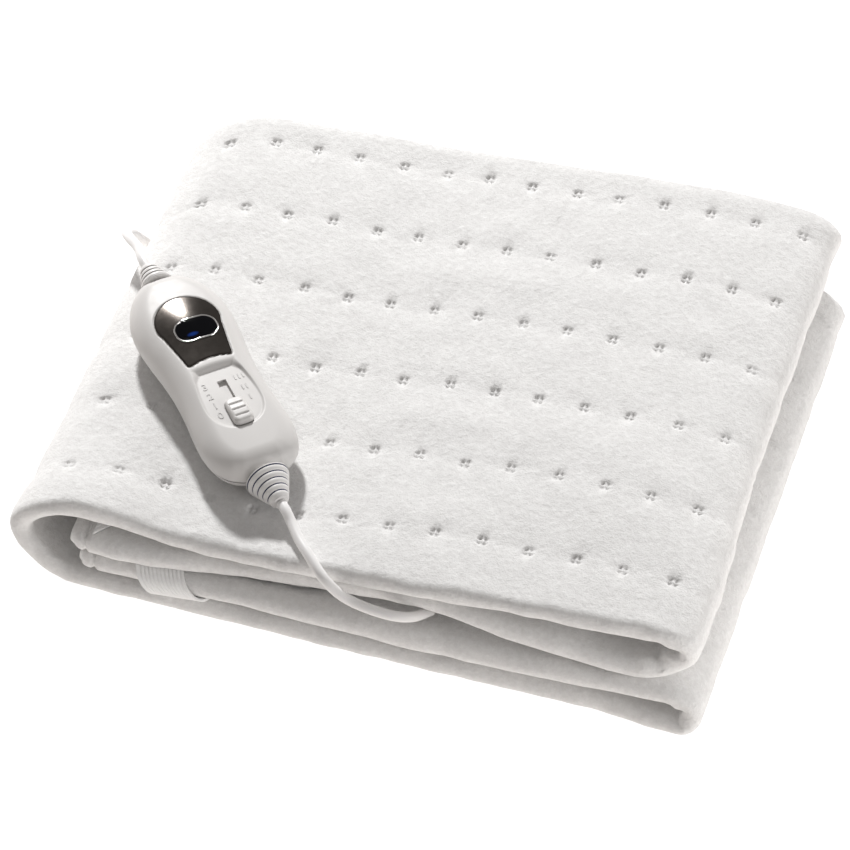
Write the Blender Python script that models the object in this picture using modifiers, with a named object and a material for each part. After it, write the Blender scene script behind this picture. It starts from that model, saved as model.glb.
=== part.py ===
"""Electric heated underblanket, folded for the shelf, with its hand controller and leads.

The cloth is one sheet.  It is folded in half across its width, so that the fold
faces -Y and two plies lie in each layer, and then folded along its length: both
ends go to the middle and the whole is folded in half once more.  Seen from -Y
the four double layers form one back-and-forth section, which SECTION describes.
Metres, +Z up, origin under the middle of the folded cloth.
"""

import math

import bmesh
import bpy
from mathutils import Euler, Vector

MM = 0.001

# ---------------------------------------------------------------- driving sizes
MIDDLE = (1.1, -2.0)  # the middle of the object in the sizes below, which goes to the origin
PLY = 5.0  # thickness of one ply of fleece, mm
PLY_END = 2.4  # the same at a hemmed edge
BACK_Y = 149.0  # where the open long edges of the plies lie over most of the length
DOT_PITCH_X = 23.6  # weld dots along a row
DOT_ROWS = (131.0, 82.0, 33.0, -16.0, -65.0, -114.0)  # y of the rows of dots
DOT_DEPTH = 1.7
DOT_REACH = 5.2
FLOOR_REACH = 0.3  # what comes nearer to the surface than this lies flat on it
CORD_D = 5.3
GAP = 0.3

# One row for each place where the middle of the double layer passes, from the end
# of the second layer, round both right folds and the left wrap, to the end of the
# third.  x, the height at the front and at the back, half of the layer's
# thickness, the y of its front fold and the y of its open edges, in mm.
SECTION_COLUMNS = ("place", "x", "z_front", "z_back", "half", "front_y", "back_y")
SECTION = (
    ("layer 2 end", -146.0, 31.6, 29.6, 5.3, -145.0, 147.0),
    ("layer 2 hem", -136.0, 31.8, 29.6, 5.4, -149.0, 148.0),
    ("layer 2", -104.0, 32.3, 29.6, 5.6, -149.4, 149.0),
    ("layer 2", -60.0, 33.6, 31.0, 5.6, -146.6, 149.0),
    ("layer 2", -8.0, 40.0, 35.5, 5.6, -146.6, 148.4),
    ("layer 2", 38.0, 48.2, 42.5, 5.6, -149.3, 148.4),
    ("layer 2", 90.0, 44.2, 44.8, 6.1, -150.0, 149.0),
    ("layer 2", 134.0, 40.2, 42.5, 6.1, -150.6, 149.0),
    ("upper fold", 153.0, 42.8, 42.8, 5.7, -148.4, 149.0),
    ("upper fold", 162.6, 49.2, 47.4, 5.6, -145.5, 148.0),
    ("upper fold", 165.0, 56.2, 54.4, 5.6, -145.5, 147.4),
    ("upper fold", 158.4, 62.6, 60.0, 5.6, -147.0, 148.6),
    ("layer 1", 142.0, 65.2, 62.4, 5.6, -147.8, 149.0),
    ("layer 1", 98.0, 64.9, 62.2, 5.6, -149.0, 149.0),
    ("layer 1", 38.0, 60.3, 57.0, 5.6, -150.0, 149.0),
    ("layer 1", -14.0, 53.0, 51.6, 5.6, -147.5, 149.0),
    ("layer 1", -62.0, 46.0, 48.0, 5.6, -144.5, 149.0),
    ("layer 1", -108.0, 45.4, 45.0, 5.6, -144.5, 149.0),
    ("layer 1", -142.0, 45.6, 42.4, 5.6, -145.5, 149.0),
    ("left wrap", -160.0, 43.2, 39.0, 5.5, -146.5, 149.0),
    ("left wrap", -170.8, 34.6, 31.2, 5.4, -147.5, 149.0),
    ("left wrap", -170.4, 25.2, 23.0, 5.4, -148.2, 149.0),
    ("left wrap", -163.6, 15.8, 14.4, 5.5, -149.0, 149.0),
    ("left wrap", -152.0, 7.6, 7.2, 5.5, -149.6, 149.0),
    ("layer 4", -138.0, 5.5, 5.5, 5.5, -150.0, 149.0),
    ("layer 4", -60.0, 5.6, 5.6, 5.6, -150.2, 149.0),
    ("layer 4", 38.0, 6.0, 6.0, 6.0, -150.2, 149.0),
    ("layer 4", 118.0, 6.6, 6.6, 6.6, -149.2, 148.6),
    ("layer 4", 154.0, 6.1, 6.1, 6.1, -151.6, 142.5),
    ("lower fold", 169.6, 8.4, 8.4, 5.8, -153.2, 136.0),
    ("lower fold", 173.8, 16.0, 14.0, 5.6, -150.6, 131.5),
    ("lower fold", 168.6, 23.8, 19.6, 5.7, -150.6, 133.5),
    ("layer 3", 154.0, 27.2, 21.2, 6.2, -152.0, 138.0),
    ("layer 3", 110.0, 25.4, 23.0, 6.8, -152.0, 146.5),
    ("layer 3", 38.0, 22.6, 21.6, 7.6, -152.0, 149.0),
    ("layer 3", -22.0, 20.0, 18.8, 6.2, -150.4, 149.0),
    ("layer 3", -76.0, 19.0, 17.8, 5.6, -149.2, 148.6),
    ("layer 3 hem", -132.0, 19.6, 18.0, 5.3, -149.2, 148.0),
    ("layer 3 end", -142.0, 19.8, 18.2, 5.2, -145.0, 147.0),
)
LAYER_2_ROWS, TOP_ROWS, LAYER_3_ROWS = (0, 7), (12, 18), (32, 38)

# Soft rises and hollows of the top layer: middle, reach and height, mm.
SWELL_COLUMNS = ("place", "x", "y", "reach_x", "reach_y", "height")
SWELLS = (
    ("arch over the hollow", -138.0, -140.0, 32.0, 42.0, 6.4),
    ("hollow by the controller", -66.0, -66.0, 34.0, 44.0, -2.2),
    ("rise by the strap", 20.0, -112.0, 26.0, 26.0, 1.6),
    ("right shoulder", 112.0, -62.0, 40.0, 44.0, 2.4),
    ("back ridge", 12.0, 60.0, 60.0, 9.0, 0.9),
    ("middle ridge", 40.0, -40.0, 70.0, 9.0, 0.8),
)


# ------------------------------------------------------------------- helpers
def clear_scene():
    for item in list(bpy.data.objects):
        bpy.data.objects.remove(item, do_unlink=True)


def collection(name):
    found = bpy.data.collections.new(name)
    bpy.context.scene.collection.children.link(found)
    return found


def material(name, colour, rough, metal=0.0):
    made = bpy.data.materials.new(name)
    made.use_nodes = True
    shader = made.node_tree.nodes["Principled BSDF"]
    shader.inputs["Base Color"].default_value = (*colour, 1.0)
    shader.inputs["Roughness"].default_value = rough
    shader.inputs["Metallic"].default_value = metal
    return made


def object_from(bm, name, where, finish, parent=None):
    """The bmesh as a named object in a collection, faces outward."""
    bmesh.ops.recalc_face_normals(bm, faces=bm.faces)
    mesh = bpy.data.meshes.new(name)
    bm.to_mesh(mesh)
    bm.free()
    made = bpy.data.objects.new(name, mesh)
    where.objects.link(made)
    if finish is not None:
        mesh.materials.append(finish)
    mesh.shade_smooth()
    mesh.set_sharp_from_angle(angle=math.radians(35))
    made.parent = parent
    return made


def cutter_from(bm, name, parent=None):
    made = object_from(bm, name, CUTTERS, None, parent)
    made.hide_render = True
    made.display_type = "WIRE"
    return made


def cut(target, cutter):
    modifier = target.modifiers.new(cutter.name, "BOOLEAN")
    modifier.operation = "DIFFERENCE"
    modifier.solver = "EXACT"
    modifier.object = cutter


def catmull(values, t):
    """A smooth curve through the values, at place t (0 is the first, 1 the second)."""
    k = min(max(int(math.floor(t)), 0), len(values) - 2)
    f = t - k
    a, b = values[k], values[k + 1]
    before = values[k - 1] if k else 2 * a - b
    after = values[k + 2] if k + 2 < len(values) else 2 * b - a
    m0, m1 = (b - before) / 2, (after - a) / 2
    return (
        (2 * f**3 - 3 * f**2 + 1) * a
        + (f**3 - 2 * f**2 + f) * m0
        + (3 * f**2 - 2 * f**3) * b
        + (f**3 - f**2) * m1
    )


def smooth_route(points, step):
    """Points about step apart along one smooth curve through the route's points."""
    places = [Vector(p) for p in points]
    knots = [0.0]
    for a, b in zip(places, places[1:]):
        knots.append(knots[-1] + math.sqrt((b - a).length))

    def at(k, u):
        p0 = places[k - 1] if k else places[0] * 2 - places[1]
        p1, p2 = places[k], places[k + 1]
        p3 = places[k + 2] if k + 2 < len(places) else places[-1] * 2 - places[-2]
        t1, t2 = knots[k], knots[k + 1]
        t0 = knots[k - 1] if k else t1 - (t2 - t1)
        t3 = knots[k + 2] if k + 2 < len(places) else t2 + (t2 - t1)
        t = t1 + (t2 - t1) * u
        a1 = p0 * ((t1 - t) / (t1 - t0)) + p1 * ((t - t0) / (t1 - t0))
        a2 = p1 * ((t2 - t) / (t2 - t1)) + p2 * ((t - t1) / (t2 - t1))
        a3 = p2 * ((t3 - t) / (t3 - t2)) + p3 * ((t - t2) / (t3 - t2))
        b1 = a1 * ((t2 - t) / (t2 - t0)) + a2 * ((t - t0) / (t2 - t0))
        b2 = a2 * ((t3 - t) / (t3 - t1)) + a3 * ((t - t1) / (t3 - t1))
        return b1 * ((t2 - t) / (t2 - t1)) + b2 * ((t - t1) / (t2 - t1))

    fine = [at(k, i / 24) for k in range(len(places) - 1) for i in range(24)]
    fine.append(places[-1])
    lengths = [0.0]
    for a, b in zip(fine, fine[1:]):
        lengths.append(lengths[-1] + (b - a).length)
    count = max(2, round(lengths[-1] / step))
    out, k = [], 0
    for i in range(count + 1):
        want = lengths[-1] * i / count
        while k < len(fine) - 2 and lengths[k + 1] < want:
            k += 1
        share = (want - lengths[k]) / max(lengths[k + 1] - lengths[k], 1e-9)
        out.append(fine[k].lerp(fine[k + 1], min(share, 1.0)))
    return out, lengths[-1]


def tube(name, points, diameter, finish, sides=2):
    """A round cord along the points, in mm, as a curve with filled caps."""
    curve = bpy.data.curves.new(name, "CURVE")
    curve.dimensions = "3D"
    curve.bevel_depth = diameter / 2 * MM
    curve.bevel_resolution = sides
    curve.use_fill_caps = True
    spline = curve.splines.new("POLY")
    spline.points.add(len(points) - 1)
    for place, point in zip(spline.points, points):
        place.co = (*(point * MM), 1.0)
    made = bpy.data.objects.new(name, curve)
    PARTS.objects.link(made)
    curve.materials.append(finish)
    return made


# ------------------------------------------------------------------- the cloth
class Section:
    """The smooth line through SECTION, and how far along it a place lies."""

    def __init__(self):
        self.columns = {
            name: [row[k] for row in SECTION]
            for k, name in enumerate(SECTION_COLUMNS)
            if k
        }
        self.fine = 40
        count = (len(SECTION) - 1) * self.fine
        self.places = [i / self.fine for i in range(count + 1)]
        self.lengths = [0.0]
        for a, b in zip(self.places, self.places[1:]):
            step = self.middle(b, 0.0) - self.middle(a, 0.0)
            self.lengths.append(self.lengths[-1] + step.length)

    def value(self, name, t):
        return catmull(self.columns[name], t)

    def middle(self, t, back):
        """The middle of the layer at place t; back is 0 at the front fold and 1 at the back."""
        front, rear = self.value("z_front", t), self.value("z_back", t)
        return Vector((self.value("x", t), front + (rear - front) * back))

    def outward(self, t, back):
        d = self.middle(min(t + 0.02, self.places[-1]), back) - self.middle(
            max(t - 0.02, 0.0), back
        )
        d.normalize()
        return Vector((d.y, -d.x))

    def place_of_x(self, x, rows):
        """The place between two SECTION rows where the layer passes over x."""
        lo, hi = rows
        rising = self.value("x", hi) > self.value("x", lo)
        for _ in range(40):
            mid = (lo + hi) / 2
            if (self.value("x", mid) < x) == rising:
                lo = mid
            else:
                hi = mid
        return lo

    def face_height(self, x, y, rows, side):
        """Height of a layer's face over (x, y): side 1 is its upper face and -1 its lower one."""
        t = self.place_of_x(x, rows)
        front = self.value("front_y", t)
        back = (y - front) / (self.value("back_y", t) - front)
        return self.middle(t, back).y + side * self.value("half", t)

    def length_at(self, t):
        f = t * self.fine
        k = min(int(f), len(self.lengths) - 2)
        return self.lengths[k] + (self.lengths[k + 1] - self.lengths[k]) * (f - k)

    def place_at(self, length):
        lo, hi = 0, len(self.lengths) - 1
        while hi - lo > 1:
            mid = (lo + hi) // 2
            lo, hi = (mid, hi) if self.lengths[mid] <= length else (lo, mid)
        share = (length - self.lengths[lo]) / (self.lengths[hi] - self.lengths[lo])
        return self.places[lo] + share * (self.places[hi] - self.places[lo])


def stations(section):
    """Places along the section: three at each column of weld dots, more round the folds."""
    top_start = section.length_at(TOP_ROWS[0])
    top_end = section.length_at(TOP_ROWS[1])
    # The column of dots at x = 152 is the last before the upper fold.
    first = min(
        (abs(section.value("x", TOP_ROWS[0] - 1 + i / 50) - 152.0), i)
        for i in range(50)
    )[1]
    start = section.length_at(TOP_ROWS[0] - 1 + first / 50)
    columns = [start + DOT_PITCH_X * k * 1.004 for k in range(-1, 15)]
    marks = []
    for s in columns:
        marks += [(s - DOT_REACH, 0), (s, 1), (s + DOT_REACH, 0)]
    last = section.lengths[-1]
    plain = []
    s = 0.0
    while s < marks[0][0] - 4:
        plain.append(s)
        t = section.place_at(s)
        s += 6.0 if t > 7.2 else (26.0 if s > 12 else 3.0)
    s = marks[-1][0] + 5.0
    while s < last - 3:
        plain.append(s)
        t = section.place_at(s)
        bend = t < 24.2 or 28.0 < t < 32.2
        s += 5.6 if bend else (26.0 if s < last - 34 else 14.0)
    plain += [last - 3.0, last]
    found = sorted([(s, 0) for s in plain] + marks)
    thinned = [found[0]]
    for s, mark in found[1:]:
        if s - thinned[-1][0] < 1.5:
            if mark:
                thinned[-1] = (s, mark)
            continue
        thinned.append((s, mark))
    return thinned, (top_start, top_end)


def swell(x, y):
    total = 0.0
    for _, mx, my, rx, ry, height in SWELLS:
        total += height * math.exp(-(((x - mx) / rx) ** 2) - ((y - my) / ry) ** 2)
    return total


def ring_of(section, s, mark, top):
    """The outline of the folded pair of plies where the section's length is s."""
    t = section.place_at(s)
    half = section.value("half", t)
    front = section.value("front_y", t)
    open_y = section.value("back_y", t)
    stretch = (open_y - front) / (BACK_Y - front)
    last = section.lengths[-1]
    edge = min(s, last - s)
    ply = PLY if edge > 3.5 else PLY_END + (PLY - PLY_END) * math.sqrt(edge / 3.5)
    mid = half - PLY / 2
    out, inn = mid + ply / 2, mid - ply / 2
    fore = front + half
    on_top = top[0] - 30 < s < top[1] + 34
    points = []  # (y, offset along the outward normal, weld dot or not)
    ys = []
    for y in DOT_ROWS:
        ys += [(y + DOT_REACH, 0), (y, 1), (y - DOT_REACH, 0)]
    ys = [(BACK_Y - 0.6, 0)] + ys + [(-131.0, 0)]
    points += [(y, out, d * mark) for y, d in ys]
    for k in range(7):  # round the front fold
        a = math.pi * k / 6
        points.append((fore - half * math.sin(a), out * math.cos(a), 0))
    plain = (-118.0, -80.0, -30.0, 30.0, 80.0, 122.0)
    points += [(y, -out, 0) for y in plain] + [(BACK_Y - 2.6, -out, 0)]
    points += [(BACK_Y - 1.4, -mid, 0), (BACK_Y - 2.6, -inn, 0)]
    slot = (70.0, -20.0, -100.0)
    inner = max(inn, 0.35)
    points += [(y, -inner, 0) for y in slot] + [(fore - 0.6, -inner, 0)]
    points += [(fore - 1.6, 0.0, 0)]
    points += [(fore - 0.6, inner, 0)] + [(y, inner, 0) for y in reversed(slot)]
    points += [(BACK_Y - 0.6, inn, 0), (BACK_Y + 0.6, mid, 0)]
    ring = []
    for y, offset, dot in points:
        back = (y - front) / (BACK_Y - front)
        y = front + (y - front) * stretch
        offset -= DOT_DEPTH * dot
        place = section.middle(t, back) + section.outward(t, back) * offset
        z = place.y
        if z < FLOOR_REACH:
            z = 0.0
        if on_top:
            fade = min(1.0, (s - top[0] + 30) / 30, (top[1] + 34 - s) / 26)
            z += swell(place.x, y) * fade
        ring.append(Vector((place.x, y, z)) * MM)
    return ring


def build_cloth(finish):
    section = Section()
    rows, top = stations(section)
    bm = bmesh.new()
    rings = [
        [bm.verts.new(p) for p in ring_of(section, s, mark, top)] for s, mark in rows
    ]
    count = len(rings[0])
    for a, b in zip(rings, rings[1:]):
        for i in range(count):
            j = (i + 1) % count
            bm.faces.new((a[i], b[i], b[j], a[j]))
    bm.faces.new(rings[0])
    bm.faces.new(list(reversed(rings[-1])))
    made = object_from(bm, "blanket_cloth", PARTS, finish)
    return made, section


# ------------------------------------------------------------------ elastic straps
def strip(name, line, half_width, drift, thick, finish):
    """A flat band.  line holds (x, y, z) of its middle, drift the way across it."""
    bm = bmesh.new()
    rings = []
    places = [Vector(p) for p in line]
    across = Vector(drift).normalized()
    for i, place in enumerate(places):
        along = places[min(i + 1, len(places) - 1)] - places[max(i - 1, 0)]
        up = across.cross(along).normalized()
        side = across * half_width
        rings.append(
            [
                bm.verts.new((place + side * a + up * b * thick / 2) * MM)
                for a, b in ((-1, -1), (0, -1), (1, -1), (1, 1), (0, 1), (-1, 1))
            ]
        )
    for a, b in zip(rings, rings[1:]):
        for i in range(6):
            j = (i + 1) % 6
            bm.faces.new((a[i], b[i], b[j], a[j]))
    bm.faces.new(rings[0])
    bm.faces.new(list(reversed(rings[-1])))
    return object_from(bm, name, PARTS, finish)


# ------------------------------------------------------------------ the controller
# The controller has its own frame: +Y runs from its head to its foot, +X across,
# and z = 0 is its flat underside.  CASE holds half widths along its length.
CASE_X, CASE_Y, CASE_Z = -102.6, -52.6, 52.6
CASE_TURN = 42.0  # degrees its length is turned from -Y towards +X
PARTING = 11.0
CASE_TOP = 26.5
CASE = (
    # y, half width
    (-71.0, 7.5),
    (-69.5, 11.5),
    (-65.0, 16.5),
    (-58.0, 21.0),
    (-48.0, 24.6),
    (-36.0, 26.0),
    (-22.0, 25.2),
    (-8.0, 23.6),
    (6.0, 22.8),
    (20.0, 23.2),
    (34.0, 24.4),
    (46.0, 24.6),
    (56.0, 22.4),
    (63.0, 18.2),
    (66.8, 12.8),
    (68.0, 9.4),
)
CASE_HEAD, CASE_FOOT = -71.4, 68.4  # where its middle line ends


def case_outline(inset=0.0):
    """The case's plan outline, drawn in by inset."""
    side = []
    ys = [row[0] for row in CASE]
    halves = [row[1] for row in CASE]
    steps = (len(CASE) - 1) * 2
    for i in range(steps + 1):
        t = (len(CASE) - 1) * i / steps
        side.append(Vector((catmull(halves, t), catmull(ys, t))))
    half_foot, half_head = side[-1].x / 2, side[0].x / 2
    foot = [Vector((x, CASE_FOOT - abs(x) * 0.03)) for x in (half_foot, 0.0, -half_foot)]
    head = [Vector((x, CASE_HEAD + abs(x) * 0.03)) for x in (-half_head, 0.0, half_head)]
    loop = side + foot + [Vector((-p.x, p.y)) for p in reversed(side)] + head
    if not inset:
        return loop
    moved = []
    n = len(loop)
    for i, p in enumerate(loop):
        d = (loop[(i + 1) % n] - loop[i - 1]).normalized()
        moved.append(p - Vector((d.y, -d.x)) * inset)
    return moved


def crown(x, y):
    """Height of the case's upper face above its underside."""
    across = 0.0042 * x * x
    along = 0.00062 * (y + 8.0) ** 2
    return CASE_TOP - across - along


def lofted(name, levels, finish, parent, top_crown=False, where=None):
    """A closed body from outlines one above another: (inset, z or drop below the crown)."""
    bm = bmesh.new()
    rings = []
    for inset, z, follows in levels:
        ring = []
        for p in case_outline(inset):
            height = crown(p.x, p.y) - z if follows else z
            ring.append(bm.verts.new(Vector((p.x, p.y, height)) * MM))
        rings.append(ring)
    n = len(rings[0])
    for a, b in zip(rings, rings[1:]):
        for i in range(n):
            j = (i + 1) % n
            bm.faces.new((a[i], a[j], b[j], b[i]))
    bm.faces.new(list(reversed(rings[0])))
    if top_crown:
        top_fill(bm, rings[-1])
    else:
        bm.faces.new(rings[-1])
    return object_from(bm, name, where or PARTS, finish, parent)


def top_fill(bm, ring):
    """Closes a crowned loop with rungs from side to side, so that it keeps its crown."""
    side = (len(ring) - 6) // 2
    right, foot = ring[:side], ring[side : side + 3]
    left, head = ring[side + 3 : 2 * side + 3], ring[2 * side + 3 :]
    rungs = []
    for a, b in zip(right, reversed(left)):
        y = (a.co.y + b.co.y) / 2 / MM
        rung = [a]
        for share in (0.25, 0.5, 0.75):
            x = (a.co.x + (b.co.x - a.co.x) * share) / MM
            rung.append(bm.verts.new(Vector((x, y, crown(x, y))) * MM))
        rungs.append([*rung, b])
    for p, q in zip(rungs, rungs[1:]):
        for i in range(4):
            bm.faces.new((p[i], p[i + 1], q[i + 1], q[i]))
    for rung, end in ((rungs[-1], foot), (rungs[0], list(reversed(head)))):
        bm.faces.new((rung[0], rung[1], end[0]))
        bm.faces.new((rung[1], rung[2], end[1], end[0]))
        bm.faces.new((rung[2], rung[3], end[2], end[1]))
        bm.faces.new((rung[3], rung[4], end[2]))


def panel_outline(grow=0.0):
    """The pear shape of the display panel: a round head and a narrow, slightly hollow foot."""
    mid_y, radius = -31.6, 17.0
    loop = []
    for k in range(19):
        a = math.radians(-22 + (224 * k / 18))
        loop.append(Vector((math.cos(a) * radius, mid_y - math.sin(a) * radius)))
    foot = (
        (-15.0, -20.5),
        (-13.6, -12.0),
        (-12.6, -5.6),
        (-12.0, -2.6),
        (-10.4, -1.6),
        (-5.0, -2.9),
        (0.0, -3.3),
        (5.0, -2.9),
        (10.4, -1.6),
        (12.0, -2.6),
        (12.6, -5.6),
        (13.6, -12.0),
        (15.0, -20.5),
    )
    loop += [Vector(p) for p in foot]
    if grow:
        n = len(loop)
        moved = []
        for i, p in enumerate(loop):
            d = (loop[(i + 1) % n] - loop[i - 1]).normalized()
            moved.append(p - Vector((-d.y, d.x)) * grow * outline_turn(loop))
        loop = moved
    return loop


def outline_turn(loop):
    area = sum(
        a.x * b.y - b.x * a.y for a, b in zip(loop, loop[1:] + loop[:1])
    )
    return 1.0 if area > 0 else -1.0


def crowned_plate(bm, outline, low, high, middle):
    """A plate inside the outline between two depths under the crown (negative is above)."""
    centre = Vector(middle)
    shells = []
    for depth in (low, high):
        rows = []
        for share in (1.0, 0.66, 0.33):
            rows.append(
                [
                    bm.verts.new(
                        Vector((q.x, q.y, crown(q.x, q.y) - depth)) * MM
                    )
                    for q in (centre + (p - centre) * share for p in outline)
                ]
            )
        hub = bm.verts.new(
            Vector((centre.x, centre.y, crown(centre.x, centre.y) - depth)) * MM
        )
        n = len(outline)
        for a, b in zip(rows, rows[1:]):
            for i in range(n):
                bm.faces.new((a[i], a[(i + 1) % n], b[(i + 1) % n], b[i]))
        for i in range(n):
            bm.faces.new((rows[-1][i], rows[-1][(i + 1) % n], hub))
        shells.append(rows[0])
    n = len(outline)
    for i in range(n):
        j = (i + 1) % n
        bm.faces.new((shells[0][i], shells[0][j], shells[1][j], shells[1][i]))


def stadium(half_x, half_y, radius, mid, count=6):
    """A rectangle with round corners as a loop of points."""
    loop = []
    for cx, cy, start in (
        (half_x - radius, half_y - radius, 0),
        (-half_x + radius, half_y - radius, 90),
        (-half_x + radius, -half_y + radius, 180),
        (half_x - radius, -half_y + radius, 270),
    ):
        for k in range(count + 1):
            a = math.radians(start + 90 * k / count)
            loop.append(
                Vector(
                    (mid[0] + cx + math.cos(a) * radius, mid[1] + cy + math.sin(a) * radius)
                )
            )
    return loop


def prism(bm, loop, heights):
    """A closed body whose outline is loop and whose levels are (z function, shrink)."""
    n = len(loop)
    cx = sum(p.x for p in loop) / n
    cy = sum(p.y for p in loop) / n
    rings = []
    for height, shrink in heights:
        rings.append(
            [
                bm.verts.new(
                    Vector(
                        (
                            cx + (p.x - cx) * shrink,
                            cy + (p.y - cy) * shrink,
                            height(p.x, p.y) if callable(height) else height,
                        )
                    )
                    * MM
                )
                for p in loop
            ]
        )
    for a, b in zip(rings, rings[1:]):
        for i in range(n):
            j = (i + 1) % n
            bm.faces.new((a[i], a[j], b[j], b[i]))
    bm.faces.new(list(reversed(rings[0])))
    bm.faces.new(rings[-1])


def recess_outline():
    """The sunken field of the switch: square at the panel, round at the foot."""
    loop = [Vector((-11.6, 0.4)), Vector((11.6, 0.4))]
    right = ((13.2, 8.0), (14.6, 16.0), (15.4, 24.0), (15.0, 31.0), (12.8, 37.0))
    foot = ((9.0, 41.4), (4.6, 43.6), (0.0, 44.2))
    loop += [Vector(p) for p in right + foot]
    loop += [Vector((-x, y)) for x, y in reversed(right + foot[:-1])]
    return loop


WINDOW_X, WINDOW_Y = -1.5, -23.8
WINDOW_HALF_X, WINDOW_HALF_Y, WINDOW_ROUND = 11.0, 7.2, 6.4
SLOT_X, SLOT_TOP, SLOT_FOOT = 1.9, 11.6, 40.0
THUMB_Y, THUMB_HALF_X, THUMB_HALF_Y = 34.0, 5.3, 8.8
STEM_HALF_Y = 2.4
TRAVEL = 19.5


def floor_height(x, y):
    """The sunken field's floor: deepest under the panel, rising to the foot."""
    deep = 2.6 - 0.03 * max(y, 0.0)
    return crown(0.0, y) - deep


def build_controller(plastic, metal, glass):
    base_frame = bpy.data.objects.new("controller_frame", None)
    PARTS.objects.link(base_frame)
    base_frame.location = Vector((CASE_X, CASE_Y, CASE_Z)) * MM
    # +Y of the controller points along (sin, -cos) of its turn.
    base_frame.rotation_euler = Euler((0, 0, math.radians(CASE_TURN - 180)))

    lofted(
        "controller_base",
        [
            (5.0, 0.0, False),
            (2.8, 0.7, False),
            (1.2, 2.8, False),
            (0.35, 6.4, False),
            (0.0, PARTING - GAP / 2, False),
        ],
        plastic,
        base_frame,
    )
    cover = lofted(
        "controller_cover",
        [
            (0.25, PARTING + GAP / 2, False),
            (0.0, PARTING + 1.4, False),
            (0.7, PARTING + 4.6, False),
            (2.4, 3.5, True),
            (5.0, 1.5, True),
            (8.0, 0.5, True),
            (11.0, 0.0, True),
        ],
        plastic,
        base_frame,
        top_crown=True,
    )

    bm = bmesh.new()
    crowned_plate(bm, panel_outline(GAP), 1.7, -4.0, (0.0, -26.0))
    cut(cover, cutter_from(bm, "panel_pocket", base_frame))

    bm = bmesh.new()
    prism(bm, recess_outline(), [(floor_height, 0.955), (CASE_TOP + 4.0, 1.03)])
    cut(cover, cutter_from(bm, "switch_field", base_frame))

    bm = bmesh.new()
    slot = stadium(
        SLOT_X, (SLOT_FOOT - SLOT_TOP) / 2, 0.8, (0.0, (SLOT_FOOT + SLOT_TOP) / 2), 2
    )
    prism(bm, slot, [(CASE_TOP - 8.2, 1.0), (CASE_TOP + 1.0, 1.0)])
    cut(cover, cutter_from(bm, "switch_slot", base_frame))

    bm = bmesh.new()
    crowned_plate(bm, panel_outline(0.0), 1.4, -0.25, (0.0, -26.0))
    panel = object_from(bm, "display_panel", PARTS, metal, base_frame)

    middle = (WINDOW_X, WINDOW_Y)
    window = stadium(WINDOW_HALF_X, WINDOW_HALF_Y, WINDOW_ROUND, middle, 5)
    wide = stadium(
        WINDOW_HALF_X + GAP, WINDOW_HALF_Y + GAP, WINDOW_ROUND + GAP, middle, 5
    )
    bm = bmesh.new()
    prism(bm, wide, [(lambda x, y: crown(x, y) - 0.9, 1.0), (CASE_TOP + 3.0, 1.0)])
    cut(panel, cutter_from(bm, "window_pocket", base_frame))
    bm = bmesh.new()
    prism(
        bm,
        window,
        [
            (lambda x, y: crown(x, y) - 0.6, 1.0),
            (lambda x, y: crown(x, y) + 0.35, 1.0),
            (lambda x, y: crown(x, y) + 0.75, 0.93),
        ],
    )
    object_from(bm, "display_window", PARTS, glass, base_frame)

    # The thumb slides along the controller's -Y, from 0 at the foot to 3 at the head.
    slide_frame = bpy.data.objects.new("slider_frame", None)
    PARTS.objects.link(slide_frame)
    slide_frame.parent = base_frame
    slide_frame.location = Vector((0.0, THUMB_Y, 0.0)) * MM
    # Its underside follows the floor all the way, so its low face is set by the highest floor it meets.
    low = (
        max(
            floor_height(0, THUMB_Y - TRAVEL * k / 8 + e) + GAP
            for k in range(9)
            for e in (-THUMB_HALF_Y, 0.0, THUMB_HALF_Y)
        )
        + 0.05
    )
    bm = bmesh.new()
    outline = stadium(THUMB_HALF_X, THUMB_HALF_Y, 3.2, (0.0, 0.0), 4)
    prism(
        bm,
        outline,
        [(low, 0.96), (low + 0.8, 1.0), (low + 2.4, 0.98), (low + 3.2, 0.88)],
    )
    thumb = object_from(bm, "heat_slider", PARTS, plastic, slide_frame)
    bm = bmesh.new()
    stem = stadium(SLOT_X - GAP - 0.05, STEM_HALF_Y, 0.6, (0.0, 0.0), 2)
    prism(bm, stem, [(CASE_TOP - 7.4, 1.0), (low + 0.6, 1.0)])
    stem_cut = object_from(bm, "slider_stem", CUTTERS, None, slide_frame)
    stem_cut.hide_render = True
    stem_cut.display_type = "WIRE"
    union = thumb.modifiers.new("stem", "BOOLEAN")
    union.operation = "UNION"
    union.solver = "EXACT"
    union.object = stem_cut
    for k in range(3):
        bm = bmesh.new()
        groove = stadium(3.4, 0.5, 0.45, (0.0, -3.4 + 3.4 * k), 2)
        prism(bm, groove, [(low + 2.55, 1.0), (low + 5.0, 1.0)])
        cut(thumb, cutter_from(bm, f"thumb_groove_{k + 1}", slide_frame))
    return base_frame


# ------------------------------------------------------------------ strain reliefs
RELIEF_COLLAR, RIB_PITCH, RIB_GROOVE, GROOVE_DEEP = 1.3, 3.1, 0.9, 1.0
RELIEF_WIDE, RELIEF_TIP = 10.9, 5.0
FOOT_RIBS, HEAD_RIBS = 5, 4


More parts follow.
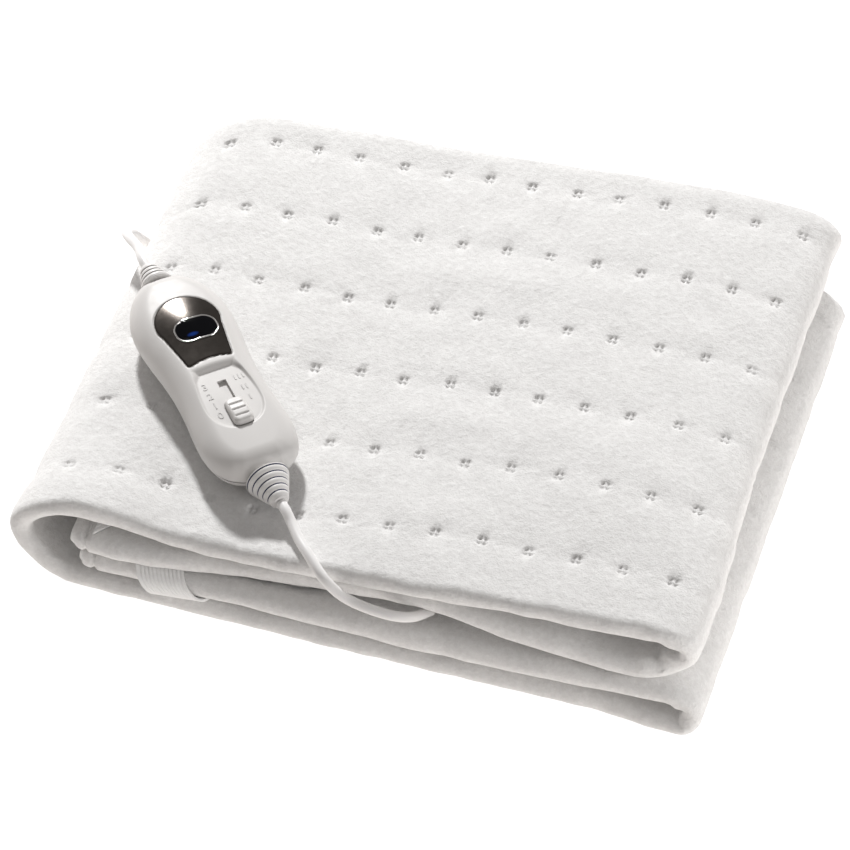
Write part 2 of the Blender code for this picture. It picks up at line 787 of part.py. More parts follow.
def relief_profile(ribs):
    """Distance and radius along a ribbed strain relief, which narrows rib by rib."""
    long = RELIEF_COLLAR + ribs * RIB_PITCH
    rows = [(0.0, RELIEF_WIDE), (RELIEF_COLLAR, RELIEF_WIDE)]
    for k in range(ribs):
        start = RELIEF_COLLAR + k * RIB_PITCH
        wide = RELIEF_WIDE + (RELIEF_TIP - RELIEF_WIDE) * (start + RIB_PITCH / 2) / long
        rows += [
            (start + 0.15, wide - GROOVE_DEEP),
            (start + RIB_GROOVE, wide - GROOVE_DEEP - 0.1),
            (start + RIB_GROOVE + 0.2, wide + 0.1),
            (start + RIB_PITCH - 0.15, wide - 0.5),
        ]
    return rows


def build_relief(name, place, direction, finish, profile):
    """A boot turned about its axis, from place along direction, mm."""
    bm = bmesh.new()
    last = None
    for d, r in ((0.0, 0.0), *profile, (profile[-1][0], 0.0)):
        vert = bm.verts.new((r * MM, 0.0, d * MM))
        if last is not None:
            bm.edges.new((last, vert))
        last = vert
    mesh = bpy.data.meshes.new(name)
    bm.to_mesh(mesh)
    bm.free()
    made = bpy.data.objects.new(name, mesh)
    PARTS.objects.link(made)
    mesh.materials.append(finish)
    turn = made.modifiers.new("turn", "SCREW")
    turn.axis = "Z"
    turn.angle = math.tau
    turn.steps = turn.render_steps = 20
    turn.use_merge_vertices = True
    turn.merge_threshold = 0.00002
    turn.use_normal_calculate = True
    made.rotation_mode = "QUATERNION"
    made.rotation_quaternion = Vector((0, 0, 1)).rotation_difference(
        Vector(direction).normalized()
    )
    made.location = Vector(place) * MM
    return made


# ------------------------------------------------------------------ leads, hank, plug
FOOT_EXIT_Z, HEAD_EXIT_Z = 9.9, 11.6
CORD_STEP = 12.4  # distance between a lead's points
CORD_GAP = 0.7  # from a relief's tip to its lead, which may leave it a little aslant
BLANKET_ROUTE = (
    (-37.5, -124.8, 60.9),
    (-30.9, -133.2, 60.2),
    (-21.9, -142.8, 60.2),
    (-11.8, -151.8, 57.6),
    (-4.4, -153.6, 51.8),
    (2.0, -153.6, 47.8),
    (14.4, -153.8, 44.8),
    (25.0, -152.2, 42.4),
    (32.4, -147.6, 39.4),
    (39.0, -139.0, 36.8),
)
HANK_LEFT, HANK_RIGHT = 42.0, 141.0  # x of the middles of its end loops
HANK_FOLD = 3 * CORD_D
HANK_RUNS = 4  # on each side
HANK_SLACK = 0.3
HANK_Y = 150.9 + HANK_FOLD + CORD_D / 2 + HANK_SLACK
HANK_LIFT = 1.4  # the tie passes under it
HANK_HIGH = HANK_RUNS * CORD_D + HANK_SLACK
TIE_HALF, TIE_THICK = 6.0, 1.0
WAIST = CORD_D / 2 + 0.3  # from the hank's middle line to its runs, where the tie holds them
LOW_RUN_Z = HANK_LIFT + CORD_D / 2
HIGH_RUN_Z = LOW_RUN_Z + (HANK_RUNS - 1) * CORD_D
RUN_MOUTH = 13.9  # how far before a loop's middle the mains lead meets the hank
LAST_RUN_MOUTH, LAST_RUN_OFF = 18.0, 9.4  # where the last run leaves over the left loop
MAINS_ROUTE = (
    (-170.4, 26.6, 59.6),
    (-179.2, 37.4, 53.6),
    (-185.0, 47.6, 45.4),
    (-186.0, 56.6, 36.6),
    (-184.6, 64.0, 26.0),
    (-182.6, 72.0, 14.5),
    (-180.0, 84.0, 5.4),
    (-178.4, 100.0, 2.75),
    (-177.6, 120.0, 2.7),
    (-174.0, 138.0, 2.7),
    (-163.0, 151.6, 2.7),
    (-145.0, 156.8, 2.7),
    (-118.0, 155.6, 2.7),
    (-80.0, 153.5, 2.7),
    (-30.0, 153.5, 2.7),
    (HANK_LEFT - RUN_MOUTH, HANK_Y - HANK_FOLD, LOW_RUN_Z),
)
PLUG_X, PLUG_Y, PLUG_Z = -32.0, 174.2, 6.9  # where its relief meets its body
PLUG_RELIEF = (
    # distance from the plug, radius
    (0.0, 6.2),
    (2.0, 6.2),
    (3.0, 5.6),
    (18.4, 4.0),
    (20.0, 3.4),
)
PLUG_ROUTE = (
    (PLUG_X + PLUG_RELIEF[-1][0] + GAP + CORD_GAP, PLUG_Y, PLUG_Z),
    (-4.0, 174.3, 7.2),
    (5.0, 175.2, 10.8),
    (14.4, 177.2, 17.0),
    (HANK_LEFT - LAST_RUN_MOUTH, HANK_Y + LAST_RUN_OFF, HIGH_RUN_Z),
)
PLUG_PLAN = (
    # distance from the relief, half width, half width of its top and bottom
    (0.0, 6.4, 5.4),
    (5.0, 10.4, 8.0),
    (14.0, 15.6, 11.6),
    (26.0, 17.5, 13.0),
    (36.0, 17.7, 13.2),
)
PIN_GAP, PIN_LONG, PIN_D = 18.6, 19.0, 4.0


def run_offset(x):
    """Distance of the hank's runs from its middle line: drawn in under the tie, apart at its loops."""
    middle = (HANK_LEFT + HANK_RIGHT) / 2
    held = TIE_HALF + 2.0
    reach = (HANK_RIGHT - HANK_LEFT) / 2
    t = min(max((abs(x - middle) - held) / (reach - held), 0.0), 1.0)
    return WAIST + (HANK_FOLD - WAIST) * (0.5 - 0.5 * math.cos(math.pi * t))


def hank_outline():
    side = CORD_D / 2 + HANK_SLACK
    radius = HANK_FOLD + side
    steps, turns = 18, 9
    upper = []
    for k in range(steps + 1):
        x = HANK_LEFT + (HANK_RIGHT - HANK_LEFT) * k / steps
        upper.append(Vector((x, HANK_Y + run_offset(x) + side)))
    right, left = [], []
    for k in range(1, turns):
        a = math.pi / 2 - math.pi * k / turns
        round_end = Vector((math.cos(a), math.sin(a))) * radius
        right.append(Vector((HANK_RIGHT, HANK_Y)) + round_end)
        left.append(Vector((HANK_LEFT, HANK_Y)) - round_end)
    lower = [Vector((p.x, 2 * HANK_Y - p.y)) for p in reversed(upper)]
    return list(reversed(upper + right + lower + left))


def build_hank(sheath, dark):
    bm = bmesh.new()
    top = HANK_LIFT + HANK_HIGH
    prism(bm, hank_outline(), [(HANK_LIFT, 1.0), (top, 1.0)])
    object_from(bm, "mains_lead_hank", PARTS, sheath)

    # The tie: a flat strip right round the runs.
    side = WAIST + CORD_D / 2 + HANK_SLACK + GAP + 0.2
    middle = (HANK_LEFT + HANK_RIGHT) / 2
    rings = []
    bm = bmesh.new()
    for x in (middle - TIE_HALF, middle + TIE_HALF):
        for grow in (TIE_THICK, 0.0):
            corners = (
                (-side - grow, HANK_LIFT - GAP - grow),
                (side + grow, HANK_LIFT - GAP - grow),
                (side + grow, top + GAP + grow),
                (-side - grow, top + GAP + grow),
            )
            rings.append(
                [bm.verts.new(Vector((x, HANK_Y + y, z)) * MM) for y, z in corners]
            )
    for a, b in ((0, 1), (1, 3), (3, 2), (2, 0)):
        for i in range(4):
            j = (i + 1) % 4
            bm.faces.new((rings[a][i], rings[a][j], rings[b][j], rings[b][i]))
    object_from(bm, "hank_tie", PARTS, dark)


def build_plug(plastic, nickel):
    """A flat two-pin plug: its section is a long hexagon that widens toward the pins."""
    bm = bmesh.new()
    rings = []
    high = 2 * PLUG_Z - 0.1
    for d, wide, flat in PLUG_PLAN:
        section = (
            (-wide, PLUG_Z),
            (-flat, 0.05),
            (flat, 0.05),
            (wide, PLUG_Z),
            (flat, high),
            (-flat, high),
        )
        rings.append(
            [
                bm.verts.new(Vector((PLUG_X - d, PLUG_Y + y, z)) * MM)
                for y, z in section
            ]
        )
    count = len(rings[0])
    for a, b in zip(rings, rings[1:]):
        for i in range(count):
            j = (i + 1) % count
            bm.faces.new((a[i], a[j], b[j], b[i]))
    bm.faces.new(rings[0])
    bm.faces.new(list(reversed(rings[-1])))
    object_from(bm, "plug_body", PARTS, plastic)
    build_relief(
        "plug_relief",
        (PLUG_X + GAP, PLUG_Y, PLUG_Z),
        (1.0, 0.0, 0.0),
        plastic,
        PLUG_RELIEF,
    )
    for k, side in enumerate((-1, 1)):
        bm = bmesh.new()
        bmesh.ops.create_cone(
            bm,
            cap_ends=True,
            segments=16,
            radius1=PIN_D / 2 * MM,
            radius2=PIN_D / 2 * MM,
            depth=PIN_LONG * MM,
        )
        pin = object_from(bm, f"plug_pin_{k + 1}", PARTS, nickel)
        pin.rotation_euler = (0.0, math.pi / 2, 0.0)
        middle = PLUG_X - PLUG_PLAN[-1][0] - GAP - PIN_LONG / 2
        pin.location = Vector((middle, PLUG_Y + side * PIN_GAP / 2, PLUG_Z)) * MM
        soften = pin.modifiers.new("round tip", "BEVEL")
        soften.width = 0.8 * MM
        soften.segments = 2


# ------------------------------------------------------------------ all of it
def build_straps(section, elastic):
    """Two elastic corner straps: one hangs out over layer 3, one lies on layer 2."""
    hang = []
    half = STRAP_THICK / 2 + GAP + 0.15
    for x, y, z in HANGING_STRAP:
        if y > STRAP_INSIDE_Y:
            above = z > 20.0
            z = section.face_height(x, y, LAYER_3_ROWS, 1 if above else -1)
            z += half if above else -half
        hang.append((x, y, z))
    strip("corner_strap_hanging", hang, STRAP_WIDE / 2, HANGING_ACROSS, STRAP_THICK, elastic)
    lying = [
        (x, y, section.face_height(x, y, LAYER_2_ROWS, 1) + half + 0.2)
        for x, y in LYING_STRAP
    ]
    strip("corner_strap_lying", lying, LYING_CUT / 2, (0.0, 1.0, 0.0), STRAP_THICK, elastic)


STRAP_WIDE, STRAP_THICK = 24.4, 1.1
STRAP_INSIDE_Y = -144.0  # past this y a strap lies between two layers
HANGING_STRAP = (
    (-104.0, -132.0, 25.6),
    (-101.2, -140.0, 25.6),
    (-98.6, -147.4, 25.6),
    (-96.4, -150.8, 23.0),
    (-93.4, -152.0, 18.8),
    (-90.0, -151.2, 14.8),
    (-87.0, -148.4, 12.7),
    (-84.6, -142.0, 12.4),
    (-83.0, -134.0, 12.4),
)
HANGING_ACROSS = (1.0, 0.10, 0.0)
LYING_CUT = 34.4  # length of the slanting strap's cut end, which lies along the hem
LYING_STRAP = ((-134.5, -126.8), (-127.5, -118.6), (-120.5, -110.4), (-113.5, -102.2))


def main():
    global PARTS, CUTTERS
    clear_scene()
    PARTS = collection("heated_blanket")
    CUTTERS = collection("cutters")
    fleece = material("white_fleece", (0.86, 0.86, 0.85), 0.95)
    elastic = material("white_elastic", (0.84, 0.84, 0.84), 0.8)
    plastic = material("pale_gloss_plastic", (0.78, 0.77, 0.76), 0.25)
    metal = material("gunmetal", (0.24, 0.22, 0.20), 0.25, 0.9)
    glass = material("dark_window", (0.01, 0.01, 0.015), 0.05)
    rubber = material("pale_relief", (0.76, 0.75, 0.75), 0.45)
    sheath = material("white_sheath", (0.83, 0.83, 0.83), 0.4)
    nickel = material("nickel", (0.7, 0.7, 0.68), 0.25, 1.0)
    tie = material("pale_tie", (0.7, 0.7, 0.7), 0.8)

    _, section = build_cloth(fleece)
    build_straps(section, elastic)

    base_frame = build_controller(plastic, metal, glass)
    bpy.context.view_layer.update()
    pose = base_frame.matrix_world
    turn = pose.to_3x3()

    def exit_of(y, z, way):
        """The middle of an end face of the controller, and the way its lead leaves."""
        place = (pose @ (Vector((0.0, y, z)) * MM)) / MM
        return place, (turn @ Vector(way)).normalized()

    foot, foot_way = exit_of(CASE_FOOT + GAP, FOOT_EXIT_Z, (0.0, 1.0, 0.0))
    head, head_way = exit_of(CASE_HEAD - GAP, HEAD_EXIT_Z, (0.0, -1.0, 0.0))
    foot_relief, head_relief = relief_profile(FOOT_RIBS), relief_profile(HEAD_RIBS)
    build_relief("relief_foot", foot, foot_way, rubber, foot_relief)
    build_relief("relief_head", head, head_way, rubber, head_relief)

    leads = (
        ("blanket_lead", foot, foot_way, foot_relief, BLANKET_ROUTE),
        ("mains_lead", head, head_way, head_relief, MAINS_ROUTE),
    )
    for name, place, way, relief, route in leads:
        tip = place + way * (relief[-1][0] + CORD_GAP)
        points, length = smooth_route([tip, tip + way * 6.0, *route], CORD_STEP)
        tube(name, points, CORD_D, sheath)
        print(name, round(length), "mm,", len(points), "points")
    points, length = smooth_route(PLUG_ROUTE, CORD_STEP)
    tube("plug_lead", points, CORD_D, sheath)
    build_hank(sheath, tie)
    build_plug(plastic, nickel)

    for item in bpy.data.objects:
        if item.parent is None:
            item.location -= Vector((*MIDDLE, 0.0)) * MM


PARTS = CUTTERS = None
main()
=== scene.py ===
# %% [markdown]
# # An electric blanket, folded for the shelf
# The real object is one sheet of white fleece with a heating wire between its two faces.
# A hand controller lies on it.  One lead goes from the controller into the folds, and the
# other goes to the mains.  The solids that a simulation needs come first, as a fixed
# frame.  This file puts finer pieces in their places and gives every piece its finish.
# Sizes are in millimetres until `place` turns them into the frame's metres.

# %% The frame
import math

import bmesh
import bpy
import numpy as np
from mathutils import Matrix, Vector


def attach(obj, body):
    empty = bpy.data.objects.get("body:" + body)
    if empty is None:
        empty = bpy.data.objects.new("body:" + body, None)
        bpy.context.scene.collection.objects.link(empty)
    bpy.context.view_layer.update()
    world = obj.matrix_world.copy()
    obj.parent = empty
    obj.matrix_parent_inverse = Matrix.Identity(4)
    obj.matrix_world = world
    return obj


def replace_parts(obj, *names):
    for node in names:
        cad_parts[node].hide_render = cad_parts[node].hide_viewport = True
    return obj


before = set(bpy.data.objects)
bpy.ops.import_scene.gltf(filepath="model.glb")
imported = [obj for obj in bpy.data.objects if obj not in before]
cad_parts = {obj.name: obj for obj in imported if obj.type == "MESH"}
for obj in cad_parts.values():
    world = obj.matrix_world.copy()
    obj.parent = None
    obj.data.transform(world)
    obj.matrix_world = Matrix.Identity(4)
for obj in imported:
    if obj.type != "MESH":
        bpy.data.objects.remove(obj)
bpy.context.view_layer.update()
MM = 0.001
MIDDLE = np.array([1.1, -2.0, 0.0])  # the drawing's middle, which stands over the origin
BODY, SLIDER = "heated_blanket", "slider"


# %% [markdown]
# ## Camera
# A product shot is taken from far away with a long lens, so that parallel edges stay
# nearly parallel.  It looks down at about half a right angle from the front right, and is
# placed by two angles and a distance, which are easier to judge than coordinates.

# %% Camera
CAMERA_TARGET = (-10.0, 6.0, 0.0)
CAMERA_FAR, CAMERA_TURN, CAMERA_RISE = 2564.0, 17.5, 48.5
IMAGE_SIDE, FOCAL, SENSOR = 850, 5000, 36.0


def place(points):
    """Drawing millimetres to the frame's metres."""
    return (np.asarray(points, float) - MIDDLE) * MM


def in_scene(name, data):
    """An object that shows the data, put in the scene."""
    made = bpy.data.objects.new(name, data)
    bpy.context.scene.collection.objects.link(made)
    return made


def add_camera():
    turn, rise = math.radians(CAMERA_TURN), math.radians(CAMERA_RISE)
    out = Vector((math.sin(turn) * math.cos(rise), -math.cos(turn) * math.cos(rise), math.sin(rise)))
    data = bpy.data.cameras.new("product_camera")
    data.sensor_width, data.lens = SENSOR, FOCAL / IMAGE_SIDE * SENSOR
    data.clip_end = 30.0
    camera = in_scene("product_camera", data)
    camera.location = Vector(place(CAMERA_TARGET)) + out * CAMERA_FAR * MM
    camera.rotation_euler = (-out).to_track_quat("-Z", "Y").to_euler()
    bpy.context.scene.camera = camera
    return camera


print("lens:", round(add_camera().data.lens, 1), "mm")


# %% [markdown]
# ## Helpers for curves
# Most pieces are grids of points worked out with numpy, which is quick and exact.
# A catmull curve runs smoothly through listed values, as a draughtsman's spline does.

# %% Curves
def catmull(values, t):
    """A smooth curve through the values, at the places t (0 is the first, 1 the second)."""
    values, t = np.asarray(values, float), np.asarray(t, float)
    padded = np.concatenate([[2 * values[0] - values[1]], values, [2 * values[-1] - values[-2]]])
    k = np.clip(np.floor(t).astype(int), 0, len(values) - 2)
    f = t - k
    before, a, b, after = (padded[k + i] for i in range(4))
    m0, m1 = (b - before) / 2, (after - a) / 2
    return (
        (2 * f**3 - 3 * f**2 + 1) * a + (f**3 - 2 * f**2 + f) * m0
        + (3 * f**2 - 2 * f**3) * b + (f**3 - f**2) * m1
    )


def smooth(t):
    """0 before 0, 1 after 1, and a soft step between."""
    t = np.clip(t, 0, 1)
    return t * t * (3 - 2 * t)


def bell(far, reach):
    """1 at 0, and nearly nothing from two reaches on."""
    return np.exp(-((far / reach) ** 2))


def gone_along(points):
    """The distance gone at each point of the broken line."""
    return np.concatenate([[0.0], np.cumsum(np.linalg.norm(np.diff(points, axis=0), axis=1))])


def evenly(points, step):
    """Points about step apart along the broken line."""
    points = np.asarray(points, float)
    gone = gone_along(points)
    want = np.linspace(0.0, gone[-1], max(2, round(gone[-1] / step)) + 1)
    return np.stack([np.interp(want, gone, points[:, k]) for k in range(points.shape[1])], 1)


def between(p, q, start, end, t):
    """From p at the start to q at the end, in a straight line."""
    return p * (end - t) / (end - start) + q * (t - start) / (end - start)


def route(points, step):
    """Points about step apart on one smooth curve through a lead's listed points."""
    points = np.asarray(points, float)
    p = np.concatenate([2 * points[:1] - points[1:2], points, 2 * points[-1:] - points[-2:-1]])
    knots = np.concatenate([[0.0], np.cumsum(np.sqrt(np.linalg.norm(np.diff(p, axis=0), axis=1)))])
    fine = []
    for k in range(1, len(p) - 2):
        t = np.linspace(knots[k], knots[k + 1], 25)[:-1, None]
        at = knots[k - 1 : k + 3]
        a = [between(p[k - 1 + i], p[k + i], at[i], at[i + 1], t) for i in range(3)]
        b = [between(a[i], a[i + 1], at[i], at[i + 2], t) for i in range(2)]
        fine.append(between(*b, at[1], at[2], t))
    return evenly(np.concatenate([*fine, points[-1:]]), step)


print("halfway between 1 and 4:", round(float(catmull((0.0, 1.0, 4.0), 1.5)), 3))


# %% [markdown]
# ## Helpers for meshes
# A grid of points needs only its faces.  Points that fall on one another are joined, the
# faces are turned outward, and edges sharper than a limit stay crisp while the rest is
# shaded smooth.

# %% Meshes
MERGE_WITHIN = 2e-7


def grid_faces(rows, cols, round_cols=False):
    """Quads of a grid whose points are numbered row by row."""
    i = np.arange(rows - 1)[:, None]
    j = np.arange(cols if round_cols else cols - 1)[None, :]
    nxt = (j + 1) % cols
    quads = np.stack([i * cols + j, i * cols + nxt, (i + 1) * cols + nxt, (i + 1) * cols + j], -1)
    return quads.reshape(-1, 4)


def tube_faces(rings, sides):
    """A closed body of rings: the quads round it and a face at each end."""
    ends = [range(sides)[::-1], range((rings - 1) * sides, rings * sides)]
    return [*grid_faces(rings, sides, round_cols=True).tolist(), *ends]


def piece(name, points, faces, finish, body=BODY, sharp=40.0):
    """A mesh piece that rides on a body.  Its faces are turned outward."""
    mesh = bpy.data.meshes.new(name)
    mesh.from_pydata(place(points).tolist(), [], [tuple(int(v) for v in f) for f in faces])
    bm = bmesh.new()
    bm.from_mesh(mesh)
    bmesh.ops.remove_doubles(bm, verts=bm.verts, dist=MERGE_WITHIN)
    bmesh.ops.recalc_face_normals(bm, faces=bm.faces)
    bm.to_mesh(mesh)
    bm.free()
    mesh.shade_smooth()
    if sharp:
        mesh.set_sharp_from_angle(angle=math.radians(sharp))
    made = in_scene(name, mesh)
    mesh.materials.append(finish)
    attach(made, body)
    return made


def baked(shape):
    """A plain mesh of an object, with its modifiers or its text worked out."""
    return bpy.data.meshes.new_from_object(shape.evaluated_get(bpy.context.evaluated_depsgraph_get()))


print("faces of a grid of 3 by 4 points:", len(grid_faces(3, 4)))


# %% [markdown]
# ## Helpers for finishes
# Every finish is a Principled shader.  Effects that several finishes share, such as
# fibre and moulded skin, are node groups with named sockets, built once.

# %% Node helpers
def feed(tree, socket, value):
    """Sets a socket: a number or colour is its value, and another socket is linked to it."""
    if isinstance(value, bpy.types.NodeSocket):
        tree.links.new(value, socket)
    else:
        socket.default_value = value


def add_node(tree, kind, **sockets):
    """A node with its sockets set by name."""
    made = tree.nodes.new(kind)
    for name, value in sockets.items():
        feed(tree, made.inputs[name.replace("_", " ")], value)
    return made


def add_math(tree, what, *values, kind="ShaderNodeMath"):
    """The node's outputs are numbers, or vectors with kind ShaderNodeVectorMath."""
    made = tree.nodes.new(kind)
    made.operation = what
    for socket, value in zip(made.inputs, values):
        feed(tree, socket, value)
    return made.outputs["Value"] if what == "DOT_PRODUCT" else made.outputs[0]


def add_mix(tree, share, one, other):
    """A colour between two colours."""
    made = tree.nodes.new("ShaderNodeMix")
    made.data_type = "RGBA"
    for socket, value in zip((made.inputs[0], *made.inputs[6:8]), (share, one, other)):
        feed(tree, socket, value)
    return made.outputs[2]


def add_noise(tree, where, scale, detail=2.0, rough=0.5):
    made = add_node(tree, "ShaderNodeTexNoise", Vector=where, Scale=scale, Detail=detail, Roughness=rough)
    return made.outputs["Fac"]


def weighed(tree, *shares):
    """The sum of two values, each taken by its share."""
    return add_math(tree, "ADD", *[add_math(tree, "MULTIPLY", value, share) for value, share in shares])


print("node helpers:", [f.__name__ for f in (feed, add_node, add_math, add_mix, add_noise, weighed)])


# %% [markdown]
# ## Groups and materials
# A group holds an effect with its sockets, and a material places it and sets the values.
# The Principled shader stays in the material, where its values are easy to find.

# %% Groups and materials
def new_group(name, ins, outs):
    """An empty node group with its sockets: ins and outs are (name, kind, value)."""
    group = bpy.data.node_groups.new(name, "ShaderNodeTree")
    for label, kind, value in ins:
        socket = group.interface.new_socket(label, in_out="INPUT", socket_type=f"NodeSocket{kind}")
        socket.default_value = value
    for label, kind in outs:
        group.interface.new_socket(label, in_out="OUTPUT", socket_type=f"NodeSocket{kind}")
    return group, group.nodes.new("NodeGroupInput"), group.nodes.new("NodeGroupOutput")


def finish_from(name, group, sockets, wires, **shader):
    """A material: a group's outputs go to the Principled shader, whose own sockets are set."""
    made = bpy.data.materials.new(name)
    made.use_nodes = True
    tree = made.node_tree
    principled = tree.nodes["Principled BSDF"]
    placed = tree.nodes.new("ShaderNodeGroup")
    placed.node_tree = group
    for node, values in ((principled, shader), (placed, sockets)):
        for label, value in values.items():
            node.inputs[label.replace("_", " ")].default_value = value
    for output, target in wires:
        tree.links.new(placed.outputs[output], principled.inputs[target])
    return made


BOTH = (("Color", "Base Color"), ("Normal", "Normal"))
ALL_THREE = (*BOTH, ("Roughness", "Roughness"))
print("a skin drives:", [target for _, target in ALL_THREE])


# %% [markdown]
# ## Fleece
# Brushed polyester shows no threads: only a soft nap, with fine grain and slightly
# darker patches where the fibres lie another way.  A photograph of cloth would show its
# seams on a folded sheet, so three sizes of noise make the colour, and a bump from the
# same noise raises the nap.

# %% The fibre group
LINT_SHARE = 0.36  # lint's scale, as a share of the grain's
TWO_TONES = (("Light", "Color", (0.9, 0.9, 0.9, 1)), ("Shade", "Color", (0.7, 0.7, 0.7, 1)))


def make_fibre_group():
    group, gin, out = new_group(
        "Soft fibre",
        (*TWO_TONES, ("Grain", "Float", 900.0), ("Patch", "Float", 130.0), ("Depth", "Float", 0.0006)),
        (("Color", "Color"), ("Normal", "Vector")),
    )
    where = group.nodes.new("ShaderNodeTexCoord").outputs["Object"]
    grain = add_noise(group, where, gin.outputs["Grain"], 3.0, 0.65)
    lint = add_noise(group, where, add_math(group, "MULTIPLY", gin.outputs["Grain"], LINT_SHARE), 2.0)
    patch = add_noise(group, where, gin.outputs["Patch"], 3.0, 0.6)
    both = weighed(group, (grain, 0.5), (lint, 0.5))
    tone = weighed(group, (both, 0.6), (patch, 0.4))
    spread = add_node(group, "ShaderNodeMapRange", Value=tone, From_Min=0.34, From_Max=0.66)
    colour = add_mix(group, spread.outputs[0], gin.outputs["Shade"], gin.outputs["Light"])
    height = add_math(group, "ADD", both, add_math(group, "MULTIPLY", patch, 0.6))
    bump = add_node(group, "ShaderNodeBump", Height=height, Distance=gin.outputs["Depth"], Strength=1.0)
    group.links.new(colour, out.inputs["Color"])
    group.links.new(bump.outputs[0], out.inputs["Normal"])
    return group


FIBRE = make_fibre_group()
print("fibre group:", len(FIBRE.nodes), "nodes")


# %% [markdown]
# ## Cloth, elastic and thread
# They share the group, so each is one call with its own values.  Fleece has the deepest
# nap and lets a little light through its loft.  Elastic is smoother and whiter, and
# thread has the finest grain.

# %% Cloth finishes
def cloth(name, light, shade, grain, patch, depth, **shader):
    sockets = {"Light": (*light, 1), "Shade": (*shade, 1), "Grain": grain, "Patch": patch, "Depth": depth}
    return finish_from(name, FIBRE, sockets, BOTH, **shader)


fleece = cloth(
    "white_fleece", (0.87, 0.868, 0.862), (0.73, 0.722, 0.715), 1050.0, 260.0, 0.0007,
    Roughness=0.95, Specular_IOR_Level=0.15, Sheen_Weight=0.3, Sheen_Roughness=0.6,
    Subsurface_Weight=0.12, Subsurface_Radius=(1.0, 1.0, 1.0), Subsurface_Scale=0.003,
)
elastic = cloth(
    "white_elastic", (0.98, 0.98, 0.98), (0.93, 0.93, 0.93), 1500.0, 420.0, 0.0002,
    Roughness=0.7, Specular_IOR_Level=0.3, Sheen_Weight=0.15,
)
thread = cloth("white_thread", (0.93, 0.93, 0.92), (0.82, 0.82, 0.81), 2600.0, 600.0, 0.0001, Roughness=0.6)
tie_strip = cloth("pale_tie", (0.80, 0.80, 0.80), (0.62, 0.62, 0.62), 1700.0, 500.0, 0.0003, Roughness=0.85)
print("cloth finishes:", [m.name for m in (fleece, elastic, thread, tie_strip)])


# %% [markdown]
# ## Moulded plastic, rubber and metal
# Moulded parts are even in colour.  What the eye reads is a faint cloudiness, a grain
# that breaks up the gloss, and handling marks that change the roughness.

# %% The moulded skin group
CLOUD_SCALE, MARK_SCALE = 45.0, 210.0


def make_skin_group():
    group, gin, out = new_group(
        "Moulded skin",
        (*TWO_TONES, ("Grain", "Float", 1500.0), ("Smooth", "Float", 0.25), ("Rough", "Float", 0.4),
         ("Depth", "Float", 0.00002)),
        (("Color", "Color"), ("Roughness", "Float"), ("Normal", "Vector")),
    )
    where = group.nodes.new("ShaderNodeTexCoord").outputs["Object"]
    cloud = add_noise(group, where, CLOUD_SCALE, 3.0)
    grain = add_noise(group, where, gin.outputs["Grain"], 2.0, 0.6)
    marks = add_noise(group, where, MARK_SCALE, 4.0, 0.7)
    share = add_node(group, "ShaderNodeMapRange", Value=marks, From_Min=0.35, From_Max=0.7,
                     To_Min=gin.outputs["Smooth"], To_Max=gin.outputs["Rough"])
    bump = add_node(group, "ShaderNodeBump", Height=grain, Distance=gin.outputs["Depth"], Strength=1.0)
    group.links.new(add_mix(group, cloud, gin.outputs["Shade"], gin.outputs["Light"]), out.inputs["Color"])
    group.links.new(share.outputs[0], out.inputs["Roughness"])
    group.links.new(bump.outputs[0], out.inputs["Normal"])
    return group


SKIN = make_skin_group()
print("skin group:", len(SKIN.nodes), "nodes")


# %% [markdown]
# ## Finishes of the moulded parts
# Each is one call: a light and a shade of the colour, the grain, the least and the most
# roughness, and how deep the grain is.  The boots' grooves and the marks by the switch
# are the same skin in a darker colour, which is painted shade.

# %% Moulded finishes
def moulded(name, light, shade, grain, polish, rough, depth, **shader):
    sockets = {"Light": (*light, 1), "Shade": (*shade, 1), "Grain": grain}
    sockets |= {"Smooth": polish, "Rough": rough, "Depth": depth}
    return finish_from(name, SKIN, sockets, ALL_THREE, **shader)


case_plastic = moulded("case_plastic", (0.66, 0.645, 0.632), (0.64, 0.627, 0.615), 2200, 0.42, 0.5, 0.00001,
                       Specular_IOR_Level=0.35)
# The marks' darker colour is painted shade, standing in for the shading round the raised figures and bars
shaded_mark_plastic = moulded("raised_marks_shaded", (0.56, 0.545, 0.535), (0.5, 0.49, 0.48), 2200, 0.3, 0.4, 0.00001)
gunmetal = moulded("gunmetal_panel", (0.055, 0.048, 0.043), (0.05, 0.044, 0.039), 2600, 0.15, 0.18, 0.00001,
                   Metallic=0.8, Specular_IOR_Level=0.3)
chrome = moulded("window_rim", (0.75, 0.74, 0.73), (0.7, 0.69, 0.68), 1500, 0.08, 0.16, 0.000004,
                 Metallic=1.0)
boot_rubber = moulded("boot_rubber", (0.78, 0.765, 0.755), (0.74, 0.73, 0.72), 1900, 0.35, 0.5, 0.00002)
# Painted shade: the boots' groove floors take these darker colours because little light gets into them
navy_groove_shade = moulded("navy_groove_shade", (0.055, 0.065, 0.15), (0.04, 0.05, 0.12), 1900, 0.5, 0.6, 0.00001)
brown_groove_shade = moulded("brown_groove_shade", (0.30, 0.27, 0.255), (0.25, 0.23, 0.22), 1900, 0.5, 0.6, 0.00001)
sheath = moulded("lead_sheath", (0.86, 0.85, 0.845), (0.83, 0.82, 0.815), 1600, 0.32, 0.45, 0.00002)
plug_plastic = moulded("plug_plastic", (0.84, 0.835, 0.83), (0.8, 0.795, 0.79), 1700, 0.35, 0.5, 0.00003)
nickel = moulded("pin_nickel", (0.72, 0.71, 0.68), (0.66, 0.65, 0.62), 1400, 0.16, 0.3, 0.00001,
                 Metallic=1.0)
print("materials so far:", len(bpy.data.materials))


# %% [markdown]
# ## The leads
# A lead has one diameter and one length, and no bend tighter than it allows.  The short
# one leaves the controller's foot, hangs over the front edge and goes into the folds.
# The mains lead leaves the head, drops behind the left end, and runs along the back to
# a hank: long runs with round loops at both ends, held by a tie, with the plug beside it.
# Both start where a strain relief ends, so the controller's place comes first.

